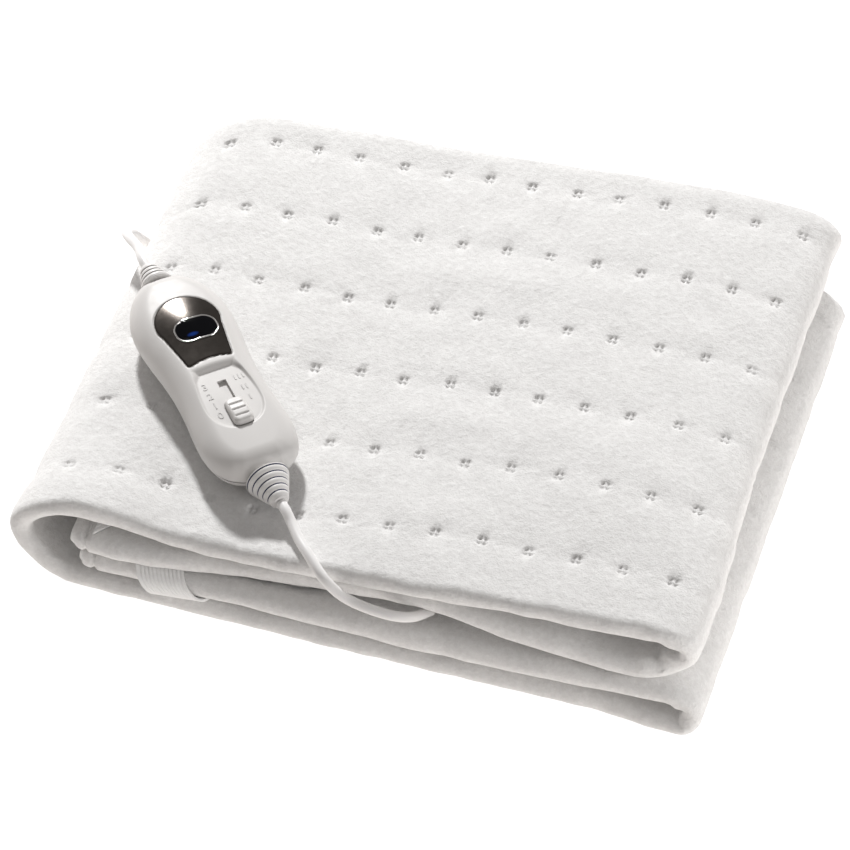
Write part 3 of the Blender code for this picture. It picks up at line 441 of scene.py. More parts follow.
# %% Where the controller lies
CASE_AT, CASE_TURN = np.array([-102.6, -52.6, 52.6]), math.radians(42.0 - 180.0)  # its foot is nearest
CASE_HEAD, CASE_FOOT = -71.4, 68.4
FOOT_EXIT_Z, HEAD_EXIT_Z = 9.9, 11.6
GAP = 0.3


def from_case(points):
    """The controller's own millimetres (+Y head to foot) to drawing millimetres."""
    points = np.atleast_2d(np.asarray(points, float))
    c, s = math.cos(CASE_TURN), math.sin(CASE_TURN)
    x = c * points[:, 0] - s * points[:, 1]
    y = s * points[:, 0] + c * points[:, 1]
    return np.stack([x, y, points[:, 2]], 1) + CASE_AT


RELIEF_COLLAR, RIB_PITCH, CORD_GAP = 1.3, 3.1, 0.7
FOOT_RIBS, HEAD_RIBS = 5, 4
CORD_D, STRAIGHT_START = 5.3, 6.0


def tip_of(relief_y, z, way, ribs):
    """Where a lead leaves its strain relief, and a point a little further on."""
    tip = relief_y + way * (GAP + RELIEF_COLLAR + ribs * RIB_PITCH + CORD_GAP)
    return from_case([(0, tip, z), (0, tip + way * STRAIGHT_START, z)]).tolist()


blanket_tip = tip_of(CASE_FOOT, FOOT_EXIT_Z, 1.0, FOOT_RIBS)
mains_tip = tip_of(CASE_HEAD, HEAD_EXIT_Z, -1.0, HEAD_RIBS)
print("the leads start at:", np.round(blanket_tip[0], 1), np.round(mains_tip[0], 1))


# %% [markdown]
# ## Their routes
# Each route is a short list of places, over the cloth and along the floor.
# A simulated rope would find a way of its own, but not the one in the picture.  Only the
# hank's heights and mouths are worked out, because they follow from the lead's thickness.

# %% The two routes
BLANKET_ROUTE = (
    (-37.5, -124.8, 60.9), (-30.9, -133.2, 60.2), (-21.9, -142.8, 60.2), (-11.8, -151.8, 57.6),
    (-4.4, -153.6, 51.8),
    (2.0, -153.6, 47.8), (14.4, -153.8, 44.8), (25.0, -152.2, 42.4), (32.4, -147.6, 39.4),
    (39.0, -139.0, 36.8),
)
HANK_LEFT, HANK_RIGHT, HANK_FOLD, HANK_RUNS, HANK_SLACK = 42.0, 141.0, 3 * CORD_D, 4, 0.3
CLOTH_BACK, TIE_UNDER = 150.9, 1.4  # the cloth's back edge, and the tie's space under the hank
HANK_Y = CLOTH_BACK + HANK_FOLD + CORD_D / 2 + HANK_SLACK
HANK_WAIST, TIE_HALF = CORD_D / 2 + HANK_SLACK, 6.0
RUN_MOUTH, LAST_RUN_MOUTH, LAST_RUN_OFF = 13.9, 18.0, 9.4  # where the lead meets and leaves the hank
LOW_RUN_Z = TIE_UNDER + CORD_D / 2
HIGH_RUN_Z = LOW_RUN_Z + (HANK_RUNS - 1) * CORD_D
MAINS_ROUTE = (
    (-170.4, 26.6, 59.6), (-179.2, 37.4, 53.6), (-185.0, 47.6, 45.4), (-186.0, 56.6, 36.6),
    (-184.6, 64.0, 26.0), (-182.6, 72.0, 14.5), (-180.0, 84.0, 5.4), (-178.4, 100.0, 2.75),
    (-177.6, 120.0, 2.7), (-174.0, 138.0, 2.7), (-163.0, 151.6, 2.7), (-145.0, 156.8, 2.7),
    (-118.0, 155.6, 2.7), (-80.0, 153.5, 2.7), (-30.0, 153.5, 2.7),
    (HANK_LEFT - RUN_MOUTH, HANK_Y - HANK_FOLD, LOW_RUN_Z),
)
PLUG_X, PLUG_Y, PLUG_Z, PLUG_RELIEF_LONG = -32.0, 174.2, 6.9, 20.0
PLUG_ROUTE = (
    (HANK_LEFT - LAST_RUN_MOUTH, HANK_Y + LAST_RUN_OFF, HIGH_RUN_Z), (14.4, 177.2, 17.0), (5.0, 175.2, 10.8),
    (-4.0, 174.3, 7.2), (PLUG_X + PLUG_RELIEF_LONG + GAP + CORD_GAP, PLUG_Y, PLUG_Z),
)
print("points set by hand:", len(BLANKET_ROUTE) + len(MAINS_ROUTE) + len(PLUG_ROUTE))


# %% [markdown]
# ## The hank
# A put-away lead is wound to and fro.  It could be drawn point by point, but a loop in
# the code makes its runs and round turns, one level above the other, and draws them in
# where the tie holds them.  The number of runs is then one value.

# %% The hank
RUN_POINTS, TURN_POINTS, RIGHT_TURN, LEFT_TURN = 34, 17, (-80, 80), (100, 260)  # turns in degrees


def run_offset(x):
    """A run's distance from the hank's middle line: least under the tie, most at the loops."""
    middle, held, reach = (HANK_LEFT + HANK_RIGHT) / 2, TIE_HALF + 2.0, (HANK_RIGHT - HANK_LEFT) / 2
    t = np.clip((np.abs(x - middle) - held) / (reach - held), 0.0, 1.0)
    return HANK_WAIST + (HANK_FOLD - HANK_WAIST) * (0.5 - 0.5 * np.cos(math.pi * t))


def on_turn(end_x, degrees, z):
    """A place on the round turn at one end of the hank."""
    a = math.radians(degrees)
    return (end_x + HANK_FOLD * math.cos(a), HANK_Y + HANK_FOLD * math.sin(a), z)


def hank_line():
    """The wound part of the mains lead, from its first front run to its last back run."""
    points = []
    for level in range(HANK_RUNS):
        z = LOW_RUN_Z + level * CORD_D
        x = np.linspace(HANK_LEFT, HANK_RIGHT, RUN_POINTS)
        points += [(a, HANK_Y - b, z) for a, b in zip(x, run_offset(x))]
        points += [on_turn(HANK_RIGHT, a, z) for a in np.linspace(*RIGHT_TURN, TURN_POINTS)]
        last = level == HANK_RUNS - 1
        x = x[::-1][: RUN_POINTS // 2 if last else RUN_POINTS]
        points += [(a, HANK_Y + b, z) for a, b in zip(x, run_offset(x))]
        if not last:
            turn = np.linspace(*LEFT_TURN, TURN_POINTS)
            points += [on_turn(HANK_LEFT, a, z + (a - 90) / 180 * CORD_D) for a in turn]
    return points


wound = hank_line()
print("points of the hank:", len(wound))


# %% [markdown]
# ## Making the leads
# A curve with a round bevel is the quickest cord: its diameter is one number.  Its points
# are closer together than it is thick, so that no bend shows a corner.

# %% Two curves
LEAD_STEP, SHORT_LEAD_STEP = 2.5, 2.0


def lead(name, points, finish):
    """A round lead along the points, as one open spline."""
    data = bpy.data.curves.new(name, "CURVE")
    data.dimensions, data.bevel_depth, data.bevel_resolution = "3D", CORD_D / 2 * MM, 5
    data.use_fill_caps = True
    spline = data.splines.new("POLY")
    spline.points.add(len(points) - 1)
    where = np.concatenate([place(points), np.ones((len(points), 1))], 1)
    spline.points.foreach_set("co", where.ravel())
    spline.use_smooth = True
    made = in_scene(name, data)
    data.materials.append(finish)
    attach(made, BODY)
    length = float(gone_along(points)[-1]) * MM
    print(name, round(length, 3), "m")
    return made, length


blanket_points = route([*blanket_tip, *BLANKET_ROUTE], SHORT_LEAD_STEP)
before = route([*mains_tip, *MAINS_ROUTE, (HANK_LEFT, HANK_Y - HANK_FOLD, LOW_RUN_Z)], LEAD_STEP)
after = route([wound[-2], wound[-1], *PLUG_ROUTE], LEAD_STEP)
blanket_lead, blanket_long = lead("lead_into_blanket", blanket_points, sheath)
mains_points = evenly([*before, *wound[1:], *after[1:]], LEAD_STEP)
mains_lead, mains_long = lead("lead_to_mains", mains_points, sheath)
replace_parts(blanket_lead, "blanket_lead")
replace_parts(mains_lead, "mains_lead", "mains_lead_hank", "plug_lead")


# %% [markdown]
# ## The folded sheet
# The real sheet is folded in half across its width, so its fold faces the viewer, and
# then along its length: both ends to the middle, and in half once more.  One line through
# the middle of the double layer describes that.  Each row of the table is a place on the
# line: its x, its height at the front and at the back, half of the layer's thickness, and
# how far its front fold and its open edges reach.  The distance along the line is the
# sheet's own length, so the flat size can be read from it.

# %% The section's table
SECTION = np.array((
    # x, z_front, z_back, half, front_y, back_y
    (-146.0, 31.6, 29.6, 5.3, -145.0, 147.0),  # end of the second layer
    (-136.0, 31.8, 29.6, 5.4, -149.0, 148.0),
    (-104.0, 32.3, 29.6, 5.6, -149.4, 149.0),
    (-60.0, 31.7, 30.6, 5.6, -141.4, 149.0),
    (-8.0, 37.4, 35.2, 5.6, -140.6, 148.4),
    (38.0, 46.6, 42.5, 5.6, -145.6, 148.4),
    (90.0, 44.2, 44.8, 6.1, -150.0, 149.0),
    (134.0, 40.2, 42.5, 6.1, -150.6, 149.0),
    (153.0, 42.8, 42.8, 5.7, -148.4, 149.0),  # upper fold
    (162.6, 49.2, 47.4, 5.6, -145.5, 148.0),
    (165.0, 56.2, 54.4, 5.6, -145.5, 147.4),
    (158.4, 62.6, 60.0, 5.6, -147.0, 148.6),
    (142.0, 65.2, 62.4, 5.6, -147.8, 149.0),  # top layer
    (98.0, 64.9, 62.2, 5.6, -149.0, 149.0),
    (38.0, 60.3, 57.0, 5.6, -150.0, 149.0),
    (-14.0, 53.0, 51.6, 5.6, -147.5, 149.0),
    (-62.0, 46.0, 48.0, 5.6, -144.5, 149.0),
    (-108.0, 45.4, 45.0, 5.6, -144.5, 149.0),
    (-142.0, 45.6, 42.4, 5.6, -145.5, 147.6),
    (-160.0, 43.2, 39.0, 5.5, -146.5, 140.5),  # left wrap
    (-170.8, 34.6, 31.2, 5.4, -147.5, 131.5),
    (-170.4, 25.2, 23.0, 5.4, -148.2, 131.0),
    (-163.6, 15.8, 14.4, 5.5, -149.0, 140.0),
    (-152.0, 7.6, 7.2, 5.5, -149.6, 149.0),
    (-138.0, 5.5, 5.5, 5.5, -150.0, 149.0),  # lowest layer
    (-60.0, 5.6, 5.6, 5.6, -150.2, 149.0),
    (38.0, 6.0, 6.0, 6.0, -150.2, 149.0),
    (118.0, 6.6, 6.6, 6.6, -149.2, 148.6),
    (154.0, 6.1, 6.1, 6.1, -151.6, 142.5),
    (169.6, 8.4, 8.4, 5.8, -153.2, 136.0),  # lower fold
    (173.8, 16.0, 14.0, 5.6, -150.6, 131.5),
    (168.6, 23.8, 19.6, 5.7, -150.6, 133.5),
    (154.0, 27.2, 21.2, 6.2, -152.0, 138.0),  # third layer
    (110.0, 25.4, 23.0, 6.8, -152.0, 146.5),
    (38.0, 22.6, 21.6, 7.6, -152.0, 149.0),
    (-22.0, 20.0, 18.8, 6.2, -150.4, 149.0),
    (-76.0, 19.0, 17.8, 5.6, -149.2, 148.6),
    (-132.0, 19.6, 18.0, 5.3, -149.2, 148.0),
    (-142.0, 19.8, 18.2, 5.2, -145.0, 147.0),  # end of the third layer
))
X, Z_FRONT, Z_BACK, HALF, FRONT_Y, OPEN_Y = range(6)
UPPER_FOLD_ROW, TOP_ROW, TOP_ROW_END, BOTTOM_ROW, LAYER_3_ROW = 7.2, 12, 18, 24, 32
PLY, PLY_END, BACK_Y, SLOT_MIN = 5.0, 2.4, 149.0, 0.35
ROW_NEAR, FINE_PER_ROW = 0.02, 40  # for slopes, and for lengths along the section


def section_value(column, t):
    return catmull(SECTION[:, column], t)


def section_middle(t, back):
    """x and z of the layer's middle; back is 0 at the front fold and 1 at the open edges."""
    low, high = section_value(Z_FRONT, t), section_value(Z_BACK, t)
    return section_value(X, t), low + (high - low) * back


def section_outward(t, back):
    """The way out of the layer, square to its middle line."""
    x0, z0 = section_middle(np.maximum(t - ROW_NEAR, 0.0), back)
    x1, z1 = section_middle(np.minimum(t + ROW_NEAR, len(SECTION) - 1.0), back)
    long = np.hypot(x1 - x0, z1 - z0)
    return (z1 - z0) / long, -(x1 - x0) / long


FINE_T = np.linspace(0, len(SECTION) - 1, FINE_PER_ROW * (len(SECTION) - 1) + 1)
FINE_S = np.concatenate([[0.0], np.cumsum(np.hypot(*(np.diff(v) for v in section_middle(FINE_T, 0.0))))])


def length_of_row(row):
    return float(np.interp(row, FINE_T, FINE_S))


# %% [markdown]
# ## Weld dots
# The two faces are joined by small hot-pressed dots in rows.  Each is a pit with a steep
# wall and a raised cross, and the loft draws in toward it.  A shape this small needs
# grid lines close together at the dots and may have them far apart between.

# %% Dots and soft unevenness
DOT_PITCH, DOT_ROWS = 23.69, np.array([131.0, 82.0, 33.0, -16.0, -65.0, -114.0])
DOT_START_X = 152.0
PIT_DEPTH, PIT_RADIUS, PIT_WALL = 1.8, 2.8, 1.1
DRAW_DEPTH, DRAW_REACH = 0.4, 5.5
CROSS_HIGH, CROSS_HALF = 1.4, 0.7
CHANNEL_DEPTH, CHANNEL_REACH = 0.45, 8.0  # the loft is a little thinner along a row of dots
DOT_SEED, DOT_SHIFT, DOT_DRAWS = 7, 0.9, 97  # no dot sits exactly in its row
DOT_USUAL, DOT_SPREAD = 0.95, 0.2  # nor is it exactly as deep as the next
WAVE_COUNT, WAVE_SIZES, WAVE_LEVEL = 12, (0.7, 1.5), 1.3


def waves(x, y, size, seed):
    """Soft unevenness from -1 to 1: sines of about one size in all directions."""
    draw = np.random.RandomState(seed)
    total = np.zeros(np.broadcast(x, y).shape)
    for _ in range(WAVE_COUNT):
        way, phase = draw.uniform(0, math.tau, 2)
        turn = math.tau / (size * draw.uniform(*WAVE_SIZES))
        total += np.sin((x * math.cos(way) + y * math.sin(way)) * turn + phase)
    return total / math.sqrt(WAVE_COUNT) / WAVE_LEVEL


near = np.linspace(TOP_ROW - 1, TOP_ROW, 51)
dot_start = float(np.interp(near[np.argmin(np.abs(section_value(X, near) - DOT_START_X))], FINE_T, FINE_S))


def weld_dots(s, y):
    """How far the surface lies below its plain height, at lengths s and widths y."""
    column = np.round((s - dot_start) / DOT_PITCH)
    row = np.argmin(np.abs(y[..., None] - DOT_ROWS), -1)
    draw = np.random.RandomState(DOT_SEED).uniform(-DOT_SHIFT, DOT_SHIFT, (3, DOT_DRAWS, len(DOT_ROWS)))
    key = (column.astype(int) % DOT_DRAWS, row)
    ds = s - dot_start - column * DOT_PITCH - draw[0][key]
    dy = y - DOT_ROWS[row] - draw[1][key]
    r = np.hypot(ds, dy)
    pit = 1 / (1 + np.exp((r - PIT_RADIUS) / (PIT_WALL / 4)))
    arms = bell(np.minimum(np.abs(ds), np.abs(dy)), CROSS_HALF)
    deep = (PIT_DEPTH - CROSS_HIGH * arms) * pit + DRAW_DEPTH * bell(r, DRAW_REACH)
    channel = CHANNEL_DEPTH * bell(y - DOT_ROWS[row], CHANNEL_REACH)
    return deep * (DOT_USUAL + DOT_SPREAD * draw[2][key]) + channel


print("dots:", len(DOT_ROWS), "rows,", DOT_PITCH, "mm apart, from", round(dot_start), "mm along the sheet")


# %% [markdown]
# ## Rows and columns
# The sheet is one grid.  Its rows lie across it and its columns along it.  Both are
# listed by place, fine at the ends, the folds and the dots that face the viewer, and
# coarse where the cloth is plain or hidden.  Subdividing it evenly would take five times
# as many faces for the same dots.

# %% The sheet's rows and columns
FINE_DOT, DOT_REACH = 0.75, 3.75  # spacing of the lines at a dot, and how far from it
NEAR_END = (0.0, 0.15, 0.6, 1.3, 2.3, 3.5, 5.0, 6.6, 7.6, 8.1, 8.5, 8.9, 9.4, 10.4, 12.0)
SEAM_IN = 8.5  # the hem's stitching, from the sheet's end
FOLD_STEPS, FOLD_Y = 16, -138.0
PLAIN_FROM, PLAIN_STEP, UPPER_STEP, BEFORE_TOP = 14.0, 4.2, 2.2, 34.0
SEEN_STEP, HIDDEN_STEP, COLUMN_STEP, ROW_HALF = 2.1, 3.9, 4.2, 24.5  # between the dots
UNDER_Y = (FOLD_Y, -132.0, -124.0, -112.0, -90.0, -50.0, 0.0, 50.0, 100.0, 134.0)
INSIDE_Y = (BACK_Y - 4.0, 70.0, -20.0, -100.0)


def spaced(start, end, step):
    """Even places from the start up to the end, without it."""
    return list(np.linspace(start, end, max(1, round((end - start) / step)) + 1)[:-1])


def around(centre, fine, coarse, half_pitch, reach):
    """Grid lines from half a pitch before a dot to half a pitch after it."""
    inner = np.arange(-reach, reach + fine / 2, fine)
    steps = max(1, round((half_pitch - reach) / coarse))
    side = np.linspace(reach, half_pitch, steps + 1)[1:]
    return [centre + v for v in (*(-side[::-1])[1:], *inner, *side)]


def sheet_rows():
    """Lengths along the sheet, from the second layer's end to the third layer's."""
    top, last = length_of_row(TOP_ROW) - BEFORE_TOP, FINE_S[-1]
    upper, wrap, bottom = (length_of_row(r) for r in (UPPER_FOLD_ROW, TOP_ROW_END, LAYER_3_ROW))
    rows = [*NEAR_END, *spaced(PLAIN_FROM, upper, PLAIN_STEP), *spaced(upper, top, UPPER_STEP)]
    first, count, end = (int(v) for v in np.ceil((np.array((top, wrap, bottom)) - dot_start) / DOT_PITCH))
    for k in range(first, end - 1):
        fine, coarse = (FINE_DOT, SEEN_STEP) if k <= count else (2 * FINE_DOT, HIDDEN_STEP)
        rows += around(dot_start + k * DOT_PITCH, fine, coarse, DOT_PITCH / 2, DOT_REACH)
    rows += spaced(rows[-1] + 2.0, last - PLAIN_FROM, PLAIN_STEP) + [last - v for v in reversed(NEAR_END)]
    rows = np.unique(np.round(rows, 3))
    return rows[np.concatenate([[True], np.diff(rows) > 0.1])]


def sheet_columns():
    """The outline across a double layer: (y, part of it), with an angle for y in the front fold."""
    outer = []
    for y in DOT_ROWS:
        outer += around(y, FINE_DOT, COLUMN_STEP, ROW_HALF, DOT_REACH)
    outer = [BACK_Y - 0.6, *(y for y in outer if FOLD_Y + 4.0 < y < BACK_Y - 2), FOLD_Y + 4.0, FOLD_Y]
    columns = [(y, "out") for y in sorted(set(np.round(outer, 2)), reverse=True)]
    columns += [(math.pi * k / FOLD_STEPS, "fold") for k in range(FOLD_STEPS + 1)]
    columns += [(y, "under") for y in (*UNDER_Y, BACK_Y - 2.6)]
    columns += [(BACK_Y - 1.7, "under_edge"), (BACK_Y - 1.4, "under_mid"), (BACK_Y - 1.8, "under_in_edge")]
    columns += [(y, "under_in") for y in INSIDE_Y] + [(0.6, "under_fore"), (1.6, "fore"), (0.6, "out_fore")]
    columns += [(y, "out_in") for y in reversed(INSIDE_Y)]
    columns += [(BACK_Y - 0.2, "out_in_edge"), (BACK_Y + 0.6, "out_mid"), (BACK_Y + 0.2, "out_edge")]
    return columns


rows, columns = sheet_rows(), sheet_columns()
print("sheet grid:", len(rows), "x", len(columns), "->", 2 * len(rows) * len(columns), "triangles")


# %% [markdown]
# ## The plain double layer
# Across the sheet the outline goes along the upper ply, round the front fold, back along
# the lower ply, and in between the two.  A modifier could thicken one surface, but here
# every part of the outline has a name, so each bump knows which face it is on.  A ply
# ends in a round edge, and the stitching presses it flat a little further in.

# %% The plain double layer
HEM_PRESS, HEM_REACH, END_ROUND = 1.6, 1.1, 3.5
EDGE_OUT, EDGE_IN, FLOOR_HOLD = 0.18, 0.1, 0.85  # the floor keeps the lowest layer straight
SLACK_HALF, SLACK_FRONT = (0.35, 46.0, 3), (0.6, 60.0, 4)  # height, size and seed


def plain_layer(s, t, edge, columns):
    """Places along y, distances from the layer's middle, and where its front fold is."""
    half, front = section_value(HALF, t), section_value(FRONT_Y, t)
    round_end = np.sqrt(np.clip(edge, 0, END_ROUND) / END_ROUND)
    ply = np.where(edge > END_ROUND, PLY, PLY_END + (PLY - PLY_END) * round_end)
    hem = HEM_PRESS * bell(edge - SEAM_IN, HEM_REACH)
    loose = 1 - FLOOR_HOLD * smooth((t - BOTTOM_ROW + 3) / 3) * smooth((LAYER_3_ROW - t) / 2)
    high, size, seed = SLACK_HALF
    half = half + high * waves(s, 0 * s, size, seed) * (edge > NEAR_END[-1]) * loose
    high, size, seed = SLACK_FRONT
    front = front + high * waves(s, 0 * s + 9.0, size, seed) * loose
    mid = half - PLY / 2
    outer, inner = mid + ply / 2 - hem, np.maximum(mid - ply / 2, SLOT_MIN)
    base = {"fore": 0 * inner}
    for part, far in (
        ("", outer), ("_in", inner), ("_fore", inner), ("_mid", mid),
        ("_edge", (outer + mid) / 2 + ply * EDGE_OUT), ("_in_edge", (mid + inner) / 2 - ply * EDGE_IN),
    ):
        base["out" + part], base["under" + part] = far, -far
    y = np.empty((len(s), len(columns)))
    offset = np.empty_like(y)
    fore = front + half
    for j, (value, part) in enumerate(columns):
        if part == "fold":
            y[:, j] = (fore - (half - hem) * math.sin(value))[:, 0]
            offset[:, j] = (outer * math.cos(value))[:, 0]
        else:
            y[:, j] = (fore - value)[:, 0] if part.endswith("fore") else value
            offset[:, j] = base[part][:, 0]
    return y, offset, front


print("one layer:", 2 * float(SECTION[TOP_ROW, HALF]), "mm thick")


# %% [markdown]
# ## Creases and bulges
# Where a fold turns back on itself, its inner face is pinched into small creases.  The
# slack near them pushes the whole layer out.  Each is one line of a table, with its
# place, reach and height.  The nap's unevenness is two sizes of soft waves.

# %% Unevenness
CREASES = (
    # row of the section, reach along it, length of one crease, depth
    (9.4, 18.0, 15.0, 1.7),
    (30.2, 17.0, 13.0, 1.5),
)
CREASE_DEEP_IN, CREASE_SLANT, CREASE_FROM = 17.0, 0.35, 1.7
BULGES = (
    # row of the section, reach in rows, y, reach_y, how far the whole layer moves out
    (9.8, 1.6, -112.0, 55.0, 4.6),
    (19.6, 1.6, -140.0, 30.0, 2.0),
)
NAP, FOLD_NAP = ((0.28, 30.0, 11), (0.16, 9.0, 12)), (0.45, 17.0, 13)  # height, size and seed


def uneven(s, t, edge, y, offset, front, columns):
    """The same layer with its unevenness, creases, dots and bulges."""
    parts = np.array([part for _, part in columns])[None, :]
    turned = np.array([value if part == "fold" else 0.0 for value, part in columns])[None, :]
    folded = parts == "fold"
    facing = np.where(parts == "under", -1.0, np.where(folded, np.cos(turned), 1.0))
    bumps = sum(high * waves(s, y, size, seed) for high, size, seed in NAP)
    offset = offset + np.where(np.isin(parts, ("out", "fold", "under")), bumps * facing, 0.0)
    high, size, seed = FOLD_NAP
    y = y - np.where(folded, np.sin(turned) * (high * waves(s, turned * 6, size, seed)), 0.0)
    inward = (parts == "under") | (folded & (turned > CREASE_FROM))
    for row, reach, long, depth in CREASES:
        along = s - length_of_row(row)
        close = bell(along, reach) * bell(y - front, CREASE_DEEP_IN)
        crease = np.sin((along + CREASE_SLANT * (y - front)) / long * math.tau)
        offset += np.where(inward, close * crease * depth, 0.0)
    dots = weld_dots(s + 0 * y, y) * (edge > 30)
    offset -= np.where(parts == "out", dots, 0.0)
    for row, reach, at_y, reach_y, far in BULGES:
        offset += far * bell(t - row, reach) * bell(y - at_y, reach_y)
    return y, offset


print("creases lie at", [round(length_of_row(row[0])) for row in CREASES], "mm along the sheet")


# %% [markdown]
# ## The sheet in place
# The layer is bent along the section's line, kept off the floor, and given its few big
# swells: the eye believes cloth by the arch over the hollow at the left and the slack by
# the controller.

# %% The sheet
SWELLS = (
    # x, y, reach_x, reach_y, height
    (-138.0, -140.0, 32.0, 42.0, 6.4),  # arch over the hollow
    (-66.0, -66.0, 34.0, 44.0, -2.2),
    (20.0, -112.0, 26.0, 26.0, 1.6),
    (112.0, -62.0, 40.0, 44.0, 2.4),
    (12.0, 60.0, 60.0, 9.0, 0.9),
    (40.0, -40.0, 70.0, 9.0, 0.8),
)
FLOOR_REACH, OFF_FLOOR = 0.3, 0.02
SWELL_BEFORE, SWELL_AFTER, SWELL_FADE = 30, 34, (30, 26)


def sheet_surface(s, columns):
    """Points of the sheet at lengths s, one row each."""
    t = np.interp(s, FINE_S, FINE_T)[:, None]
    s = s[:, None]
    edge = np.minimum(s, FINE_S[-1] - s)
    y, offset, front = plain_layer(s, t, edge, columns)
    y, offset = uneven(s, t, edge, y, offset, front, columns)
    back = (y - front) / (BACK_Y - front)
    y = front + (y - front) * (section_value(OPEN_Y, t) - front) / (BACK_Y - front)
    (x, z), (nx, nz) = section_middle(t, back), section_outward(t, back)
    x, z = x + nx * offset, z + nz * offset
    faces_floor = np.array([part == "out" for _, part in columns])[None, :]
    on_floor = np.where(faces_floor, np.maximum(z, OFF_FLOOR), OFF_FLOOR)
    z = np.where((z < FLOOR_REACH) & (t > BOTTOM_ROW - 2), on_floor, z)
    start, end = length_of_row(TOP_ROW) - SWELL_BEFORE, length_of_row(TOP_ROW_END) + SWELL_AFTER
    fade = np.clip(np.minimum((s - start) / SWELL_FADE[0], (end - s) / SWELL_FADE[1]), 0, 1)
    for mx, my, rx, ry, high in SWELLS:
        z = z + fade * high * bell(x - mx, rx) * bell(y - my, ry)
    return np.stack([x, y, z], -1)


surface, wide = sheet_surface(rows, columns), len(columns)
quads = grid_faces(len(rows), wide, round_cols=True)
caps = [range(wide), range((len(rows) - 1) * wide, len(rows) * wide)[::-1]]
blanket = piece("folded_blanket", surface.reshape(-1, 3), [*quads, *caps], fleece, sharp=0)
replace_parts(blanket, "blanket_cloth")
print("folded sheet:", len(blanket.data.vertices), "points")


# %% [markdown]
# ## Hem stitching
# The ends of the sheet are turned in and sewn.  The line of stitches shows inside the
# hollow at the left, where it runs over the folded edge.  A bump could fake it, but real
# short stitches catch the light and throw small shadows.

# %% Stitches along both hems
STITCH_LONG, STITCH_GAP, STITCH_HALF, STITCH_PROUD = 2.6, 1.0, 0.42, 0.15
STITCH_TURN = np.radians(np.arange(0, 360, 60))
STITCH_SHAPE = ((0.0, 0.35), (0.25, 0.85), (0.5, 1.0), (0.75, 0.85), (1.0, 0.35))  # place, thickness


def stitches(name, line, outward):
    """Short rounded stitches along a line on the cloth."""
    gone = gone_along(line)
    points, faces, side = [], [], np.array([1.0, 0.0, 0.0])
    for start in np.arange(1.0, gone[-1] - STITCH_LONG, STITCH_LONG + STITCH_GAP):
        shape = tube_faces(len(STITCH_SHAPE), len(STITCH_TURN))
        faces += [[len(points) + v for v in face] for face in shape]
        for share, thick in STITCH_SHAPE:
            d = start + share * STITCH_LONG
            middle, out = (np.array([np.interp(d, gone, v[:, k]) for k in range(3)]) for v in (line, outward))
            for a in STITCH_TURN:
                round_it = STITCH_HALF * thick * (side * math.cos(a) + out * math.sin(a))
                points.append(middle + round_it + out * STITCH_PROUD)
    return piece(name, points, faces, thread)


def hem_line(s):
    """A line round the outside of the double layer at length s, and its outward way."""
    dense = [(y, "out") for y in np.linspace(BACK_Y - 4, FOLD_Y, 110)]
    dense += [(math.pi * k / FOLD_STEPS, "fold") for k in range(FOLD_STEPS + 1)]
    dense += [(y, "under") for y in np.linspace(FOLD_Y, BACK_Y - 4, 110)]
    line = sheet_surface(np.array([s - 0.5, s, s + 0.5]), dense)
    along = np.gradient(line[1], axis=0)
    out = np.cross(line[2] - line[0], along)
    return line[1], out / np.linalg.norm(out, axis=1)[:, None]


for name, s in (("hem_stitches_upper", SEAM_IN), ("hem_stitches_lower", FINE_S[-1] - SEAM_IN)):
    line, out = hem_line(s)
    middle = np.median(line, axis=0)
    if ((line - middle) * out)[:, 2].mean() < 0:
        out = -out
    stitches(name, line, out)


# %% [markdown]
# ## Elastic corner straps
# Ribbed elastic holds the blanket to a mattress.  Its ribs run along it and its two
# selvedges are a little thicker.  One strap hangs out in a short loop, the other lies
# along the hem on the second layer.  Both sweep one ribbed outline along a smooth line.

# %% Straps
STRAP_WIDE, STRAP_THICK, STRAP_RIBS = 24.4, 1.3, 12
SELVEDGE, SELVEDGE_THICK, GROOVE_THICK = 0.93, 1.15, 0.3  # shares of half the width and the thickness


def height_on_layer(x, y, rows, side):
    """Height of a layer's face over (x, y): side 1 is its upper face and -1 its lower one."""
    t = np.linspace(*rows, 400)
    xs = section_value(X, t)
    t = float(np.interp(x, xs if xs[0] < xs[-1] else xs[::-1], t if xs[0] < xs[-1] else t[::-1]))
    front = float(section_value(FRONT_Y, t))
    back = (y - front) / (float(section_value(OPEN_Y, t)) - front)
    return float(section_middle(t, back)[1]) + side * float(section_value(HALF, t))


def strap(name, node, line, wide, drift):
    """A ribbed band along a smooth line."""
    line = route(line, 1.2)
    across = np.asarray(drift, float) / np.linalg.norm(drift)
    along = np.gradient(line, axis=0)
    up = np.cross(across, along)
    up /= np.linalg.norm(up, axis=1)[:, None]
    u = np.linspace(-1, 1, 8 * STRAP_RIBS + 1)
    rib = np.abs(np.sin(u * STRAP_RIBS * math.pi / 2)) ** 0.7
    ribbed = GROOVE_THICK + (1 - GROOVE_THICK) * rib
    thick = STRAP_THICK / 2 * np.where(np.abs(u) > SELVEDGE, SELVEDGE_THICK, ribbed)
    ring = np.concatenate([np.stack([u, thick], 1), np.stack([u[::-1], -thick[::-1]], 1)])
    points = line[:, None] + across * ring[None, :, :1] * wide / 2 + up[:, None] * ring[None, :, 1:]
    made = piece(name, points.reshape(-1, 3), tube_faces(len(line), len(ring)), elastic, sharp=0)
    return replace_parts(made, node)


